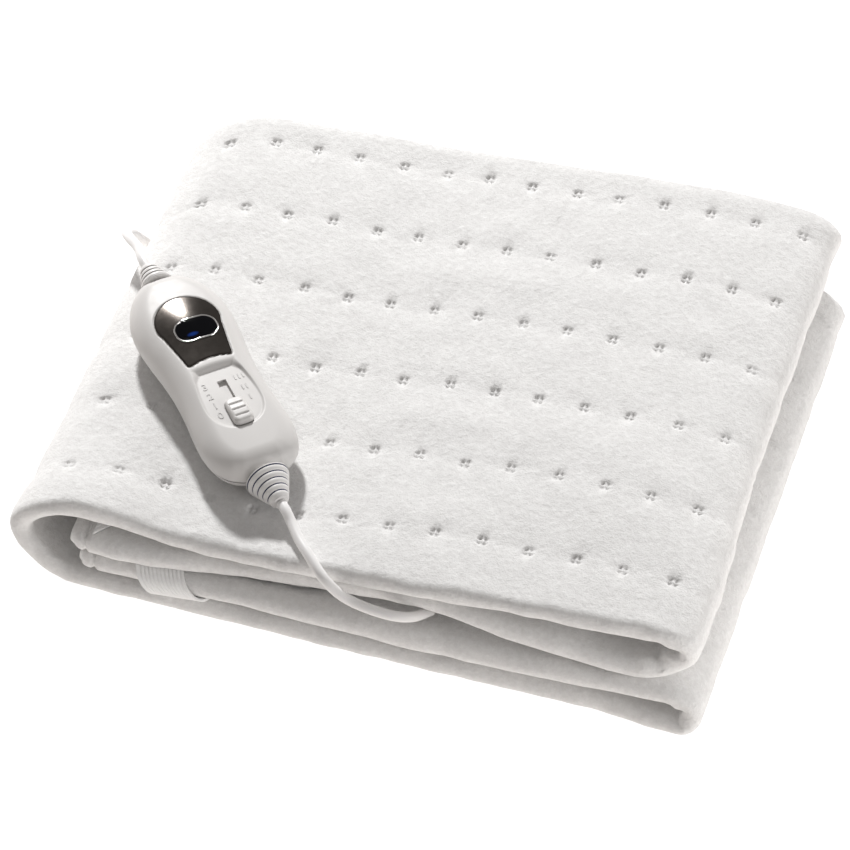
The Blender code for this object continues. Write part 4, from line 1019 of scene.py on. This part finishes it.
HANGING_STRAP = (
    (-104.0, -132.0, 25.6), (-101.2, -140.0, 25.6), (-98.6, -147.4, 25.6), (-96.4, -150.8, 23.0),
    (-93.4, -152.0, 18.8), (-90.0, -151.2, 14.8), (-87.0, -148.4, 12.7), (-84.6, -142.0, 12.4),
    (-83.0, -134.0, 12.4),
)
LYING_STRAP, LYING_CUT = ((-134.5, -126.8), (-127.5, -118.6), (-120.5, -110.4), (-113.5, -102.2)), 34.4
LAYER_2_ROWS, LAYER_3_ROWS, LAYER_3_MIDDLE, SEWN_FROM = (0, 7), (32, 38), 20.0, -144.0
lift, lying_lift = STRAP_THICK / 2 + GAP + 0.15, 0.2
hanging = []
for x, y, z in HANGING_STRAP:
    if y >= SEWN_FROM:  # the two ends lie on the third layer's faces
        side = 1 if z > LAYER_3_MIDDLE else -1
        z = height_on_layer(x, y, LAYER_3_ROWS, side) + side * lift
    hanging.append((x, y, z))
lying = [(x, y, height_on_layer(x, y, LAYER_2_ROWS, 1) + lift + lying_lift) for x, y in LYING_STRAP]
straps = [
    strap("hanging_elastic", "corner_strap_hanging", hanging, STRAP_WIDE, (1.0, 0.10, 0.0)),
    strap("lying_elastic", "corner_strap_lying", lying, LYING_CUT, (0.0, 1.0, 0.0)),
]
print("straps:", [len(made.data.polygons) for made in straps], "faces")


# %% [markdown]
# ## The controller's case
# A case like this is moulded in two halves that meet at a thin line.  Each half is a
# height over the same outline: it starts at the line and rounds over to a crowned top or
# a flat base.  The distance to the outline drives the rounding, so it is even all round.

# %% Outlines
CASE = np.array((
    # y, half width
    (-71.0, 7.5), (-69.5, 11.5), (-65.0, 16.5), (-58.0, 21.0), (-48.0, 24.6), (-36.0, 26.0),
    (-22.0, 25.2), (-8.0, 23.6), (6.0, 22.8), (20.0, 23.2), (34.0, 24.4), (46.0, 24.6),
    (56.0, 22.4), (63.0, 18.2), (66.8, 12.8), (68.0, 9.4),
))
PARTING, CASE_TOP, UPPER_ROUND, LOWER_ROUND = 11.0, 26.5, 11.0, 10.0
UPPER_FULL, LOWER_FULL = 2.2, 1.6  # how full the rounding is: 2 is a quarter of an ellipse
LIP, HALF_LONG = 0.5, 70.0  # how far the upper half stands out over the lower one, on half its length


def case_side():
    """The right side of the case's outline, from the head's middle to the foot's."""
    t = np.linspace(0, len(CASE) - 1, 200)
    side = np.stack([catmull(CASE[:, 1], t), catmull(CASE[:, 0], t)], 1)
    return np.concatenate([[(0.0, CASE_HEAD)], side, [(0.0, CASE_FOOT)]])


def smooth_loop(points, count):
    """A closed smooth curve through given points."""
    points = np.asarray(points, float)
    n = len(points)
    wide = np.concatenate([points[-2:], points, points[:3]])
    t = np.linspace(2, n + 2, count, endpoint=False)
    return np.stack([catmull(wide[:, 0], t), catmull(wide[:, 1], t)], 1)


def depth_inside(points, loop):
    """Distance of points (..., 2) to a closed loop: positive inside it and negative outside."""
    p = np.asarray(points, float).reshape(-1, 2)
    nearest, inside = np.full(len(p), 1e9), np.zeros(len(p), bool)
    for a, b in zip(loop, np.roll(loop, -1, axis=0)):
        d = b - a
        share = np.clip(((p - a) @ d) / max(d @ d, 1e-12), 0, 1)
        nearest = np.minimum(nearest, np.hypot(*(p - a - share[:, None] * d).T))
        crosses = (a[1] > p[:, 1]) != (b[1] > p[:, 1])
        level = (p[:, 1] - a[1]) / (b[1] - a[1] if b[1] != a[1] else 1e-12)
        inside ^= crosses & (p[:, 0] < a[0] + level * d[0])
    return np.where(inside, nearest, -nearest).reshape(np.shape(points)[:-1])


def stadium(half_x, half_y, radius, mid, count):
    """A rectangle with round corners, as a loop."""
    loop = []
    for cx, cy, start in ((1, 1, 0), (-1, 1, 90), (-1, -1, 180), (1, -1, 270)):
        for a in np.radians(np.linspace(start, start + 90, count)):
            loop.append((mid[0] + cx * (half_x - radius) + math.cos(a) * radius,
                         mid[1] + cy * (half_y - radius) + math.sin(a) * radius))
    return np.array(loop)


CASE_SIDE = case_side()
CASE_LOOP = np.concatenate([CASE_SIDE, CASE_SIDE[-2:0:-1] * (-1, 1)])
print("case:", CASE_FOOT - CASE_HEAD, "mm long,", 2 * round(float(CASE_SIDE[:, 0].max()), 1), "mm wide")


# %% [markdown]
# ## The panel's and the field's outlines
# The panel has a round head and a narrow foot.  The sunken field below it is square at
# the panel and round at its end.  Both are drawn on one side and mirrored, which keeps
# them even and halves the points to set.

# %% Panel and field
PANEL_MID_Y, PANEL_ROUND, PANEL_POINTS, RECESS_POINTS = -31.6, 17.0, 220, 200
HEAD_ARC = (-22, 202, 19)  # from, to, points: degrees round the panel's head
PANEL_FOOT = np.array((
    (-15.0, -20.5), (-13.6, -12.0), (-12.7, -6.4), (-12.3, -3.4), (-11.6, -2.0), (-9.6, -1.9),
    (-5.0, -2.9), (0.0, -3.3),
))
RECESS_SIDE = np.array((
    (11.9, 0.4), (12.4, 3.0), (13.2, 8.0), (14.6, 16.0), (15.4, 24.0), (15.0, 31.0), (12.8, 37.0),
    (9.0, 41.4), (4.6, 43.6),
))
RECESS_FOOT, RECESS_TOP = [(0.0, 44.2)], [(-6.0, 0.0), (0.0, -0.2), (6.0, 0.0)]
angles = np.radians(np.linspace(*HEAD_ARC))
panel_head = np.stack([np.cos(angles) * PANEL_ROUND, PANEL_MID_Y - np.sin(angles) * PANEL_ROUND], 1)
panel_points = np.concatenate([panel_head, PANEL_FOOT, PANEL_FOOT[-2::-1] * (-1, 1)])
recess_points = np.concatenate([RECESS_SIDE, RECESS_FOOT, RECESS_SIDE[::-1] * (-1, 1), RECESS_TOP])
PANEL, RECESS = smooth_loop(panel_points, PANEL_POINTS), smooth_loop(recess_points, RECESS_POINTS)
print("panel:", np.round(np.ptp(PANEL, axis=0), 1), "mm  field:", np.round(np.ptp(RECESS, axis=0), 1), "mm")


# %% [markdown]
# ## The case's heights
# The upper half is crowned, rounded at its outline, sunk in the field and cut by a fine
# groove round the panel.  These could be four sculpted steps.  As one sum of heights each
# stays a value that can be changed later.

# %% The case's heights
WALL_HEAD, WALL_FOOT, WALL_BLEND = 6.0, 1.5, 9.0  # width of the field's wall, wide under the panel
GROOVE_DEEP, GROOVE_HALF = 0.7, 0.32
CROWN_X, CROWN_Y, CROWN_HEAD = 0.0042, 0.00062, 0.0004
FIELD_DEEP, FIELD_RISE = 2.6, 0.03


def crown(x, y):
    """The case's top: arched both ways, and a little more at its head."""
    head = CROWN_HEAD * np.minimum(y + 20.0, 0.0) ** 2
    return CASE_TOP - CROWN_X * x * x - CROWN_Y * (y + 8.0) ** 2 - head


def rounded(depth, radius, full=UPPER_FULL):
    """0 at the outline, and 1 from the radius inward, along a rounded shoulder."""
    return (1 - (1 - np.clip(depth / radius, 0, 1)) ** full) ** (1 / full)


def recess_floor(y):
    return crown(0.0, y) - (FIELD_DEEP - FIELD_RISE * np.maximum(y, 0.0))


def upper_height(x, y):
    p = np.stack([x, y], -1)
    start = PARTING + GAP / 2
    z = start + (crown(x, y) - start) * rounded(depth_inside(p, CASE_LOOP), UPPER_ROUND)
    wall = WALL_FOOT + (WALL_HEAD - WALL_FOOT) * smooth((WALL_BLEND - y) / WALL_BLEND)
    z = z + (np.minimum(recess_floor(y), z) - z) * smooth(depth_inside(p, RECESS) / wall)
    return z - GROOVE_DEEP * bell(depth_inside(p, PANEL), GROOVE_HALF)


def lower_height(x, y):
    end = PARTING - GAP / 2
    return end * (1 - rounded(depth_inside(np.stack([x, y], -1), CASE_LOOP) - LIP, LOWER_ROUND, LOWER_FULL))


middle_heights = [round(float(f(0.0, 20.0)), 1) for f in (crown, upper_height, lower_height)]
print("crown, field's floor and underside in the middle:", middle_heights, "mm")


# %% [markdown]
# ## The two halves
# Each half of the moulding is a closed piece of its own.  A grid of points covers the
# outline, closer together at its rim, where the shape turns fastest, and flat faces from
# its first column to its last close it.

# %% The two halves
EVEN_LONG, EVEN_WIDE = 0.35, 0.3  # 1 spaces the grid evenly, and 0 draws it to the rim


def shell(name, side, height, finish, rows, cols, body=BODY):
    """A grid of heights over an outline whose right side is given, closed flat where it starts."""
    def eased(count, even):
        t = np.linspace(-1, 1, count)
        return even * t + (1 - even) * np.sin(math.pi / 2 * t)

    head, foot = side[0, 1], side[-1, 1]
    y = (head + foot) / 2 + (foot - head) / 2 * eased(rows, EVEN_LONG)
    half = np.interp(y, side[:, 1], side[:, 0])
    x = eased(cols, EVEN_WIDE)[None, :] * half[:, None]
    y = np.broadcast_to(y[:, None], x.shape)
    points = np.stack([x, y, height(x, y)], -1).reshape(-1, 3)
    flat = [(r * cols, (r + 1) * cols, (r + 2) * cols - 1, (r + 1) * cols - 1) for r in range(rows - 1)]
    return piece(name, from_case(points), [*grid_faces(rows, cols), *flat], finish, body=body)


upper = shell("case_upper_half", CASE_SIDE, upper_height, case_plastic, 300, 132)
LOWER_SIDE = np.stack([np.maximum(CASE_SIDE[:, 0] - LIP, 0.0), CASE_SIDE[:, 1] * (1 - LIP / HALF_LONG)], 1)
lower = shell("case_lower_half", LOWER_SIDE, lower_height, case_plastic, 130, 80)
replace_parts(upper, "controller_cover")
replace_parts(lower, "controller_base")
print("case halves:", len(upper.data.polygons), "and", len(lower.data.polygons), "faces")


# %% [markdown]
# ## The slot
# The switch's stem runs in a slot.  A hole with sharp edges would need a far finer grid,
# so it is cut with a Boolean, and the result is kept as a plain mesh.

# %% Slot
SLOT_X, SLOT_TOP, SLOT_FOOT, SLOT_DEEP, SLOT_ROUND = 2.4, 11.2, 40.0, 1.7, 0.5


def prism(name, loop, low, high, finish):
    """A straight body from an outline, between two heights."""
    rings = np.concatenate([np.c_[loop, np.full(len(loop), z)] for z in (low, high)])
    return piece(name, from_case(rings), tube_faces(2, len(loop)), finish)


def cut_out(target, cutter):
    """Cuts one piece from another and removes the cutter."""
    modifier = target.modifiers.new("cut", "BOOLEAN")
    modifier.operation, modifier.solver, modifier.object = "DIFFERENCE", "EXACT", cutter
    made = baked(target)
    target.modifiers.clear()
    target.data = made
    bpy.data.objects.remove(cutter, do_unlink=True)
    made.shade_smooth()
    made.set_sharp_from_angle(angle=math.radians(40))


slot_loop = stadium(SLOT_X, (SLOT_FOOT - SLOT_TOP) / 2, SLOT_ROUND, (0.0, (SLOT_FOOT + SLOT_TOP) / 2), 4)
cut_out(upper, prism("slot_cutter", slot_loop, CASE_TOP - FIELD_DEEP - SLOT_DEEP, CASE_TOP + 1, case_plastic))
print("upper half with its slot:", len(upper.data.polygons), "faces")


# %% [markdown]
# ## Panel and window
# Both are small crowned plates.  A grid would have a stepped outline there, so each is a
# set of rings drawn in toward a middle.  The height follows the case's crown, and rounds
# off in the last half millimetre.

# %% Crowned plates
WINDOW_AT, WINDOW_HALF, WINDOW_ROUND = (-1.5, -23.8), (11.0, 7.2), 6.4
PANEL_DOME, DOME_X, DOME_Y, PANEL_PROUD = 1.0, 13.0, 15.0, 0.2
PANEL_SHARE, PANEL_CENTRE = 0.992, (0.0, -24.0)  # the share leaves a seam round the panel
PANEL_DROP, PANEL_EDGE, PANEL_UNDER = 0.6, 0.7, 1.2
LENS_PROUD, LENS_DOME, LENS_EDGE, LENS_UNDER = 0.1, 0.15, 3.0, 0.2


def crowned(name, loop, middle, top, low, finish, rings):
    """A plate over a loop: top(x, y, depth inside the loop) above low(x, y)."""
    middle, n = np.asarray(middle, float), len(loop)
    shares = 1 - np.linspace(0, 1, rings + 1)[:-1] ** 1.6
    flat = np.concatenate([middle + (loop - middle) * s for s in shares] + [middle[None]])
    upper_z = top(flat[:, 0], flat[:, 1], np.maximum(depth_inside(flat, loop), 0.0))
    points = np.concatenate([np.c_[flat, upper_z], np.c_[loop, low(loop[:, 0], loop[:, 1])]])
    faces = grid_faces(rings, n, round_cols=True).tolist()
    last, hub, skirt = (rings - 1) * n, rings * n, rings * n + 1
    for k in range(n):
        ahead = (k + 1) % n
        faces += [(last + k, last + ahead, hub), (k, ahead, skirt + ahead, skirt + k)]
    return piece(name, from_case(points), [*faces, range(skirt, skirt + n)], finish)


def domed(x, y):
    return crown(x, y) + PANEL_PROUD + PANEL_DOME * bell(x, DOME_X) * bell(y - PANEL_MID_Y, DOME_Y)


def panel_top(x, y, depth):
    return domed(x, y) - PANEL_DROP * (1 - rounded(depth, PANEL_EDGE))


def lens_top(x, y, depth):
    return domed(x, y) + LENS_PROUD + LENS_DOME * rounded(depth, LENS_EDGE)


def under(far):
    """A face that far under the crown."""
    return lambda x, y: crown(x, y) - far


panel_loop = PANEL * PANEL_SHARE + (0, -0.2)
panel = crowned("display_plate", panel_loop, PANEL_CENTRE, panel_top, under(PANEL_UNDER), gunmetal, 34)
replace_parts(panel, "display_panel")
print("panel:", len(panel.data.polygons), "faces")


# %% [markdown]
# ## The switch
# The thumb is a rounded block with three grooves across it for the finger.  The same
# grid of heights as for the case makes it.  It rides on its own body, so that it can
# slide, and its underside clears the field's floor along the whole way.

# %% Switch
THUMB_Y, THUMB_HALF, THUMB_ROUND, THUMB_HIGH, THUMB_EDGE = 34.0, (5.3, 8.8), 3.2, 3.2, 2.2
THUMB_WAY, THUMB_DROP = 19.5, 1.1
THUMB_GROOVES, GROOVE_SINK, GROOVE_WIDE, GROOVE_END = (-3.9, 0.3, 4.5), 0.8, 0.45, 3.6
on_the_way = [THUMB_Y - THUMB_WAY * k / 8 + e for k in range(9) for e in (-THUMB_HALF[1], 0.0, THUMB_HALF[1])]
THUMB_LOW = max(float(recess_floor(y)) for y in on_the_way) + GAP + 0.05
THUMB = stadium(*THUMB_HALF, THUMB_ROUND, (0.0, THUMB_Y), 16)
THUMB_SIDE = THUMB[(THUMB[:, 0] > -1e-9)]
THUMB_SIDE = THUMB_SIDE[np.argsort(THUMB_SIDE[:, 1])]
THUMB_SIDE = np.concatenate([[(0.0, THUMB_Y - THUMB_HALF[1])], THUMB_SIDE, [(0.0, THUMB_Y + THUMB_HALF[1])]])


def thumb_top(x, y):
    """A rounded block with three grooves across it."""
    high = THUMB_HIGH - THUMB_DROP * smooth((THUMB_Y + 2.0 - y) / 10.0)
    inside = np.maximum(depth_inside(np.stack([x, y], -1), THUMB), 0.0)
    z = THUMB_LOW + high * rounded(inside, THUMB_EDGE)
    for at in THUMB_GROOVES:
        across = bell(y - THUMB_Y - at, GROOVE_WIDE)
        z = z - GROOVE_SINK * across / (1 + np.exp((np.abs(x) - GROOVE_END) / 0.15))
    return z


thumb = shell("switch_thumb", THUMB_SIDE, thumb_top, case_plastic, 110, 44, body=SLIDER)
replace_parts(thumb, "heat_slider")
print("thumb's underside:", round(THUMB_LOW, 2), "mm above the case's foot")


# %% [markdown]
# ## The window
# A faint blue glint on the dark lens is painted light: an oval mask in the material
# makes it glow, so that the lens stays one clean piece.  A thin bright bead frames it:
# a circle of points that follows the window's outline.

# %% Window and rim
# Place, lift, length and width of the painted blue glint on the lens, and its glow colour
GLINT_AT, GLINT_UP, GLINT_LONG, GLINT_WIDE = (1.6, -20.6), 0.6, 3.4, 1.5
GLINT_COLOUR, RIM_RADIUS, RIM_STEP = (0.005, 0.03, 0.17, 1), 0.52, 0.8


def lens_finish():
    made = moulded("dark_lens", (0.005, 0.005, 0.006), (0.003, 0.003, 0.004), 900, 0.05, 0.1, 0.000003,
                   Specular_IOR_Level=0.05)
    tree = made.node_tree
    shader = tree.nodes["Principled BSDF"]
    where = tree.nodes.new("ShaderNodeTexCoord").outputs["Object"]
    centre = place(from_case([(*GLINT_AT, float(crown(*GLINT_AT)) + GLINT_UP)]))[0]
    from_centre = add_math(tree, "SUBTRACT", where, centre, kind="ShaderNodeVectorMath")
    squares = []
    for axis, reach in (((1.0, 0.0, 0.0), GLINT_LONG), ((0.0, 1.0, 0.0), GLINT_WIDE)):
        way = (from_case([axis])[0] - CASE_AT) / (reach * MM)
        along = add_math(tree, "DOT_PRODUCT", from_centre, way, kind="ShaderNodeVectorMath")
        squares.append(add_math(tree, "POWER", add_math(tree, "ABSOLUTE", along), 2.0))
    # The oval mask makes the painted blue glint glow on the lens; nothing behind it is lit
    glow = add_node(tree, "ShaderNodeMapRange", Value=add_math(tree, "ADD", *squares), To_Min=1.0, To_Max=0.0)
    colour = add_mix(tree, glow.outputs[0], (0, 0, 0, 1), GLINT_COLOUR)
    tree.links.new(colour, shader.inputs["Emission Color"])
    shader.inputs["Emission Strength"].default_value = 1.0
    return made


def swept_ring(name, loop, radius, height, finish):
    """A thin round bead along a closed loop."""
    turns = np.radians(np.arange(0, 360, 36))
    ahead = np.roll(loop, -1, axis=0) - np.roll(loop, 1, axis=0)
    side = np.stack([ahead[:, 1], -ahead[:, 0]], 1) / np.linalg.norm(ahead, axis=1)[:, None]
    flat = loop[:, None] + side[:, None] * radius * np.cos(turns)[None, :, None]
    z = height(flat[..., 0], flat[..., 1]) + radius * np.sin(turns)[None]
    points = np.concatenate([flat, z[..., None]], -1).reshape(-1, 3)
    n, m = len(loop), len(turns)
    faces = grid_faces(n, m, round_cols=True).tolist()
    faces += [((n - 1) * m + k, (n - 1) * m + (k + 1) % m, (k + 1) % m, k) for k in range(m)]
    return piece(name, from_case(points), faces, finish, sharp=0)


def rim_height(x, y):
    return panel_top(x, y, depth_inside(np.stack([x, y], -1), PANEL)) + 0.1


window_loop = stadium(*WINDOW_HALF, WINDOW_ROUND, WINDOW_AT, 24)
even_loop = evenly(np.concatenate([window_loop, window_loop[:1]]), RIM_STEP)[:-1]
lens = crowned("display_lens", window_loop, WINDOW_AT, lens_top, under(LENS_UNDER), lens_finish(), 16)
rim = swept_ring("window_rim", even_loop, RIM_RADIUS, rim_height, chrome)
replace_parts(lens, "display_window")
print("lens and rim:", len(lens.data.polygons), "and", len(rim.data.polygons), "faces")


# %% [markdown]
# ## Marks by the switch
# Four settings, 3 2 1 0, stand in low relief at one side of the slot, and one, two or
# three bars at the other.  The figures are text, turned into meshes and laid on the floor
# of the sunken field.

# %% Figures and bars
FIGURES = (("3", 12.5), ("2", 19.3), ("1", 26.0), ("0", 32.8))
FIGURE_X, FIGURE_SIZE, FIGURE_RAISED, FIGURE_BOLDER = 9.2, 4.4 * 1.35, 0.25, 0.06
BARS, BAR_X, BAR_PITCH = ((3, 12.1), (2, 19.6), (1, 26.9)), -9.2, 2.1
BAR_HALF, BAR_ROUND, BAR_SUNK = (0.42, 1.7), 0.38, 0.1


def on_floor(points):
    """Lifts points (x, y, height above the floor) onto the sunken field's floor."""
    points = np.array(points, float)
    points[:, 2] += recess_floor(points[:, 1])
    return from_case(points)


def figure(name, text, y):
    """One raised figure, turned so that it reads from the controller's foot."""
    data = bpy.data.curves.new(name, "FONT")
    data.body, data.size, data.extrude, data.offset = text, FIGURE_SIZE, FIGURE_RAISED, FIGURE_BOLDER
    data.align_x, data.align_y = "CENTER", "CENTER"
    shape = in_scene(name, data)
    mesh = baked(shape)
    bpy.data.objects.remove(shape, do_unlink=True)
    flat = np.array([v.co for v in mesh.vertices])
    faces = [tuple(f.vertices) for f in mesh.polygons]
    return piece(name, on_floor(flat * (-1, -1, 1) + (FIGURE_X, y, 0.0)), faces, shaded_mark_plastic)


def bar_group(name, count, y):
    """Short bars side by side."""
    points, faces = [], []
    for k in range(count):
        loop = stadium(*BAR_HALF, BAR_ROUND, (BAR_X + (k - (count - 1) / 2) * BAR_PITCH, y), 4)
        faces += [[len(points) + v for v in face] for face in tube_faces(2, len(loop))]
        points += [(*p, h) for h in (-BAR_SUNK, FIGURE_RAISED) for p in loop]
    return piece(name, on_floor(points), faces, shaded_mark_plastic)


for text, y in FIGURES:
    figure(f"setting_figure_{text}", text, y)
for count, y in BARS:
    bar_group(f"setting_bars_{count}", count, y)
print("marks:", len(FIGURES), "figures and", len(BARS), "groups of bars")


# %% [markdown]
# ## Strain reliefs
# Where a lead leaves a housing, a ribbed boot keeps it from bending sharply.  It is
# turned on a lathe in the computer: one profile goes round an axis.  Its grooves are
# darker, because hardly any light gets into them, so their faces take a finish of their own.

# %% Boots
FOOT_WIDE, HEAD_WIDE, RELIEF_TIP, RIB_GROOVE, GROOVE_DEPTH = 11.6, 8.6, 4.1, 0.75, 0.55


def relief_profile(ribs, wide):
    """Distance, radius and whether it is a groove's floor, along a boot."""
    long = RELIEF_COLLAR + ribs * RIB_PITCH
    rows = [(0.0, wide - 0.4, 0), (0.3, wide, 0)]
    for k in range(ribs + 1):
        start = max(RELIEF_COLLAR + (k - 1) * RIB_PITCH, 0.3)
        end = RELIEF_COLLAR + k * RIB_PITCH
        near, far = (wide + (RELIEF_TIP - wide) * v / long for v in (start, end))
        rows += [(start + 0.25, near + 0.12, 0), ((start + end) / 2, (near + far) / 2 + 0.3, 0),
                 (end - RIB_GROOVE, far + 0.25, 0)]
        if k < ribs:
            rows += [(end - RIB_GROOVE + 0.05, far + 0.1, 1), (end - 0.4, far - GROOVE_DEPTH, 1),
                     (end - 0.1, far - GROOVE_DEPTH, 1), (end, far, 1)]
    rows.append((long, RELIEF_TIP, 0))
    return rows


def turned(name, start, way, profile, finish, sides=56, groove=None):
    """A body of revolution from start along way."""
    start, way = np.asarray(start, float), np.asarray(way, float) / np.linalg.norm(way)
    side = np.cross(way, (0.0, 0.0, 1.0))
    side /= np.linalg.norm(side)
    up = np.cross(side, way)
    turns = np.linspace(0, math.tau, sides, endpoint=False)
    ring = side * np.cos(turns)[:, None] + up * np.sin(turns)[:, None]
    points = np.concatenate([start + way * row[0] + ring * row[1] for row in profile])
    made = piece(name, points, tube_faces(len(profile), sides), finish, sharp=50)
    if groove:
        made.data.materials.append(groove)
        for k, (row, ahead) in enumerate(zip(profile, profile[1:])):
            for face in made.data.polygons[k * sides : (k + 1) * sides]:
                face.material_index = int(row[2] and ahead[2])
    return made


def boot(name, node, y, z, way, ribs, wide, groove):
    start, ahead = from_case([(0, y, z), (0, y + way, z)])
    made = turned(name, start, ahead - start, relief_profile(ribs, wide), boot_rubber, groove=groove)
    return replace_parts(made, node)


boot("foot_boot", "relief_foot", CASE_FOOT + GAP, FOOT_EXIT_Z, 1.0, FOOT_RIBS, FOOT_WIDE, navy_groove_shade)
boot("head_boot", "relief_head", CASE_HEAD - GAP, HEAD_EXIT_Z, -1.0, HEAD_RIBS, HEAD_WIDE, brown_groove_shade)
print("rings in the foot's boot:", len(relief_profile(FOOT_RIBS, FOOT_WIDE)))


# %% [markdown]
# ## The plug
# It is flat, has two pins and is moulded round them.  A box with bevels would be too
# regular, so it is lofted through a few sections with round edges, widening to the pins.

# %% Plug body, relief, pins and tie
PLUG_PLAN = ((0.0, 6.4, 5.4), (1.2, 7.6, 6.2), (5.0, 10.4, 8.0), (14.0, 15.6, 11.6), (26.0, 17.5, 13.0),
             (34.6, 17.7, 13.2), (36.0, 16.9, 12.2))
PLUG_HALF, PLUG_LONG, PLUG_THIN, PLUG_SIDES, PLUG_RINGS = 6.75, 36.0, 0.9, 48, 40
PIN_GAP = 18.6
PIN_PROFILE = ((0.0, 2.0), (6.0, 2.0), (6.1, 1.85), (17.6, 1.9), (18.6, 1.5), (19.0, 0.8))
PLUG_BOOT = (
    (0.0, 6.0), (0.4, 6.2), (2.0, 6.2), (2.3, 5.7), (7.0, 5.2), (7.2, 4.6), (8.0, 4.6), (8.2, 5.1),
    (12.0, 4.7), (12.2, 4.1), (13.0, 4.1), (13.2, 4.6), (18.4, 4.0), (20.0, 3.4),
)


def plug_shape():
    """The body, lofted through six-sided sections whose corners are rounded off."""
    rings = []
    t = np.linspace(0, len(PLUG_PLAN) - 1, PLUG_RINGS)
    plan = np.array(PLUG_PLAN)
    for d, wide, flat in zip(*(catmull(plan[:, k], t) for k in range(3))):
        thin = PLUG_HALF * (PLUG_THIN if d < 0.6 or d > PLUG_LONG - 0.4 else 1.0)
        half = ((-wide, 0), (-flat, -thin), (flat, -thin))
        corners = np.array((*half, *-np.array(half)))
        loop = np.concatenate([a + (b - a) * np.array([[0.12], [0.5], [0.88]])
                               for a, b in zip(corners, np.roll(corners, -1, axis=0))])
        ring = smooth_loop(loop, PLUG_SIDES)
        rings.append(np.c_[np.full(len(ring), PLUG_X - d), PLUG_Y + ring[:, 0], PLUG_Z + ring[:, 1]])
    faces = tube_faces(PLUG_RINGS, PLUG_SIDES)
    return piece("plug_shell", np.concatenate(rings), faces, plug_plastic, sharp=55)


plug = plug_shape()
plug_relief = turned("plug_boot", (PLUG_X + GAP, PLUG_Y, PLUG_Z), (1, 0, 0), PLUG_BOOT, plug_plastic)
pins = []
for k, side in enumerate((-1, 1)):
    foot = (PLUG_X - PLUG_LONG - GAP, PLUG_Y + side * PIN_GAP / 2, PLUG_Z)
    pins.append(turned(f"contact_pin_{k + 1}", foot, (-1, 0, 0), PIN_PROFILE, nickel, 28))
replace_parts(plug, "plug_body")
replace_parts(plug_relief, "plug_relief")
for k, pin in enumerate(pins):
    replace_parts(pin, f"plug_pin_{k + 1}")
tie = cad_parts["hank_tie"]
tie.data.materials.clear()
tie.data.materials.append(tie_strip)

print("plug:", len(plug.data.polygons), "faces, pins", PIN_GAP, "mm apart")


# %% [markdown]
# ## Floor
# The object stands on plain white paper.  A brighter lamp would make paper white as well,
# but it would wash out the cloth.  Here the floor gives off a little light of its own, which
# keeps it white and fills the shaded front of the folds from below.

# %% Floor
FLOOR_GLOW = (1.08, 1.02, 0.975, 1)  # what the floor gives the folds; the camera sees it white
FLOOR_SIDE, FLOOR_Z, FLOOR_TONE, GLOW_STRENGTH = 6.0, -0.0004, 0.3, 0.92


def add_floor():
    data = bpy.data.meshes.new("studio_floor")
    corners = [(x * FLOOR_SIDE, y * FLOOR_SIDE, 0) for x, y in ((-1, -1), (1, -1), (1, 1), (-1, 1))]
    data.from_pydata(corners, [], [(0, 1, 2, 3)])
    floor = in_scene("studio_floor", data)
    floor.location.z = FLOOR_Z
    made = bpy.data.materials.new("white_paper")
    made.use_nodes = True
    tree = made.node_tree
    shader = tree.nodes["Principled BSDF"].inputs
    seen = tree.nodes.new("ShaderNodeLightPath").outputs["Is Camera Ray"]
    glow = add_mix(tree, seen, FLOOR_GLOW, (1, 1, 1, 1))
    for label, value in (
        ("Base Color", (FLOOR_TONE, FLOOR_TONE, FLOOR_TONE, 1)), ("Roughness", 1.0),
        ("Specular IOR Level", 0.0), ("Emission Strength", GLOW_STRENGTH), ("Emission Color", glow),
    ):
        feed(tree, shader[label], value)
    data.materials.append(made)
    return floor


print("floor:", add_floor().dimensions.x, "m square")


# %% [markdown]
# ## Lamps
# The main lamp stands behind, at the left and above: it throws the controller's shadow
# toward the viewer and draws the bright spot on the panel.  A wide, weak lamp lights the
# right side of the folds, and a faint sky lifts the rest.  Lamps in the shape of a disk
# give soft shadows and round highlights.

# %% Lamps and sky
LAMPS = (
    # name, place in metres, diameter of its disk, power, colour
    ("back_lamp", (-1.22, 2.00, 1.68), 0.30, 92.0, (1.0, 0.995, 0.99)),
    ("side_lamp", (1.54, -0.22, 0.40), 0.78, 11.0, (1.0, 0.99, 0.98)),
)
SKY_COLOUR, SKY_STRENGTH = (1.0, 0.965, 0.94, 1), 0.28


def add_lamps():
    for name, where, across, power, colour in LAMPS:
        data = bpy.data.lights.new(name, "AREA")
        data.shape, data.size, data.energy, data.color = "DISK", across, power, colour
        lamp = in_scene(name, data)
        lamp.location = where
        lamp.rotation_euler = (-Vector(where)).to_track_quat("-Z", "Y").to_euler()
    world = bpy.data.worlds.new("studio_sky")
    world.use_nodes = True
    sky = world.node_tree.nodes["Background"].inputs
    sky["Color"].default_value, sky["Strength"].default_value = SKY_COLOUR, SKY_STRENGTH
    bpy.context.scene.world = world
    bpy.context.scene.view_settings.view_transform = "Standard"


add_lamps()
print("lamps:", [name for name, *_ in LAMPS])
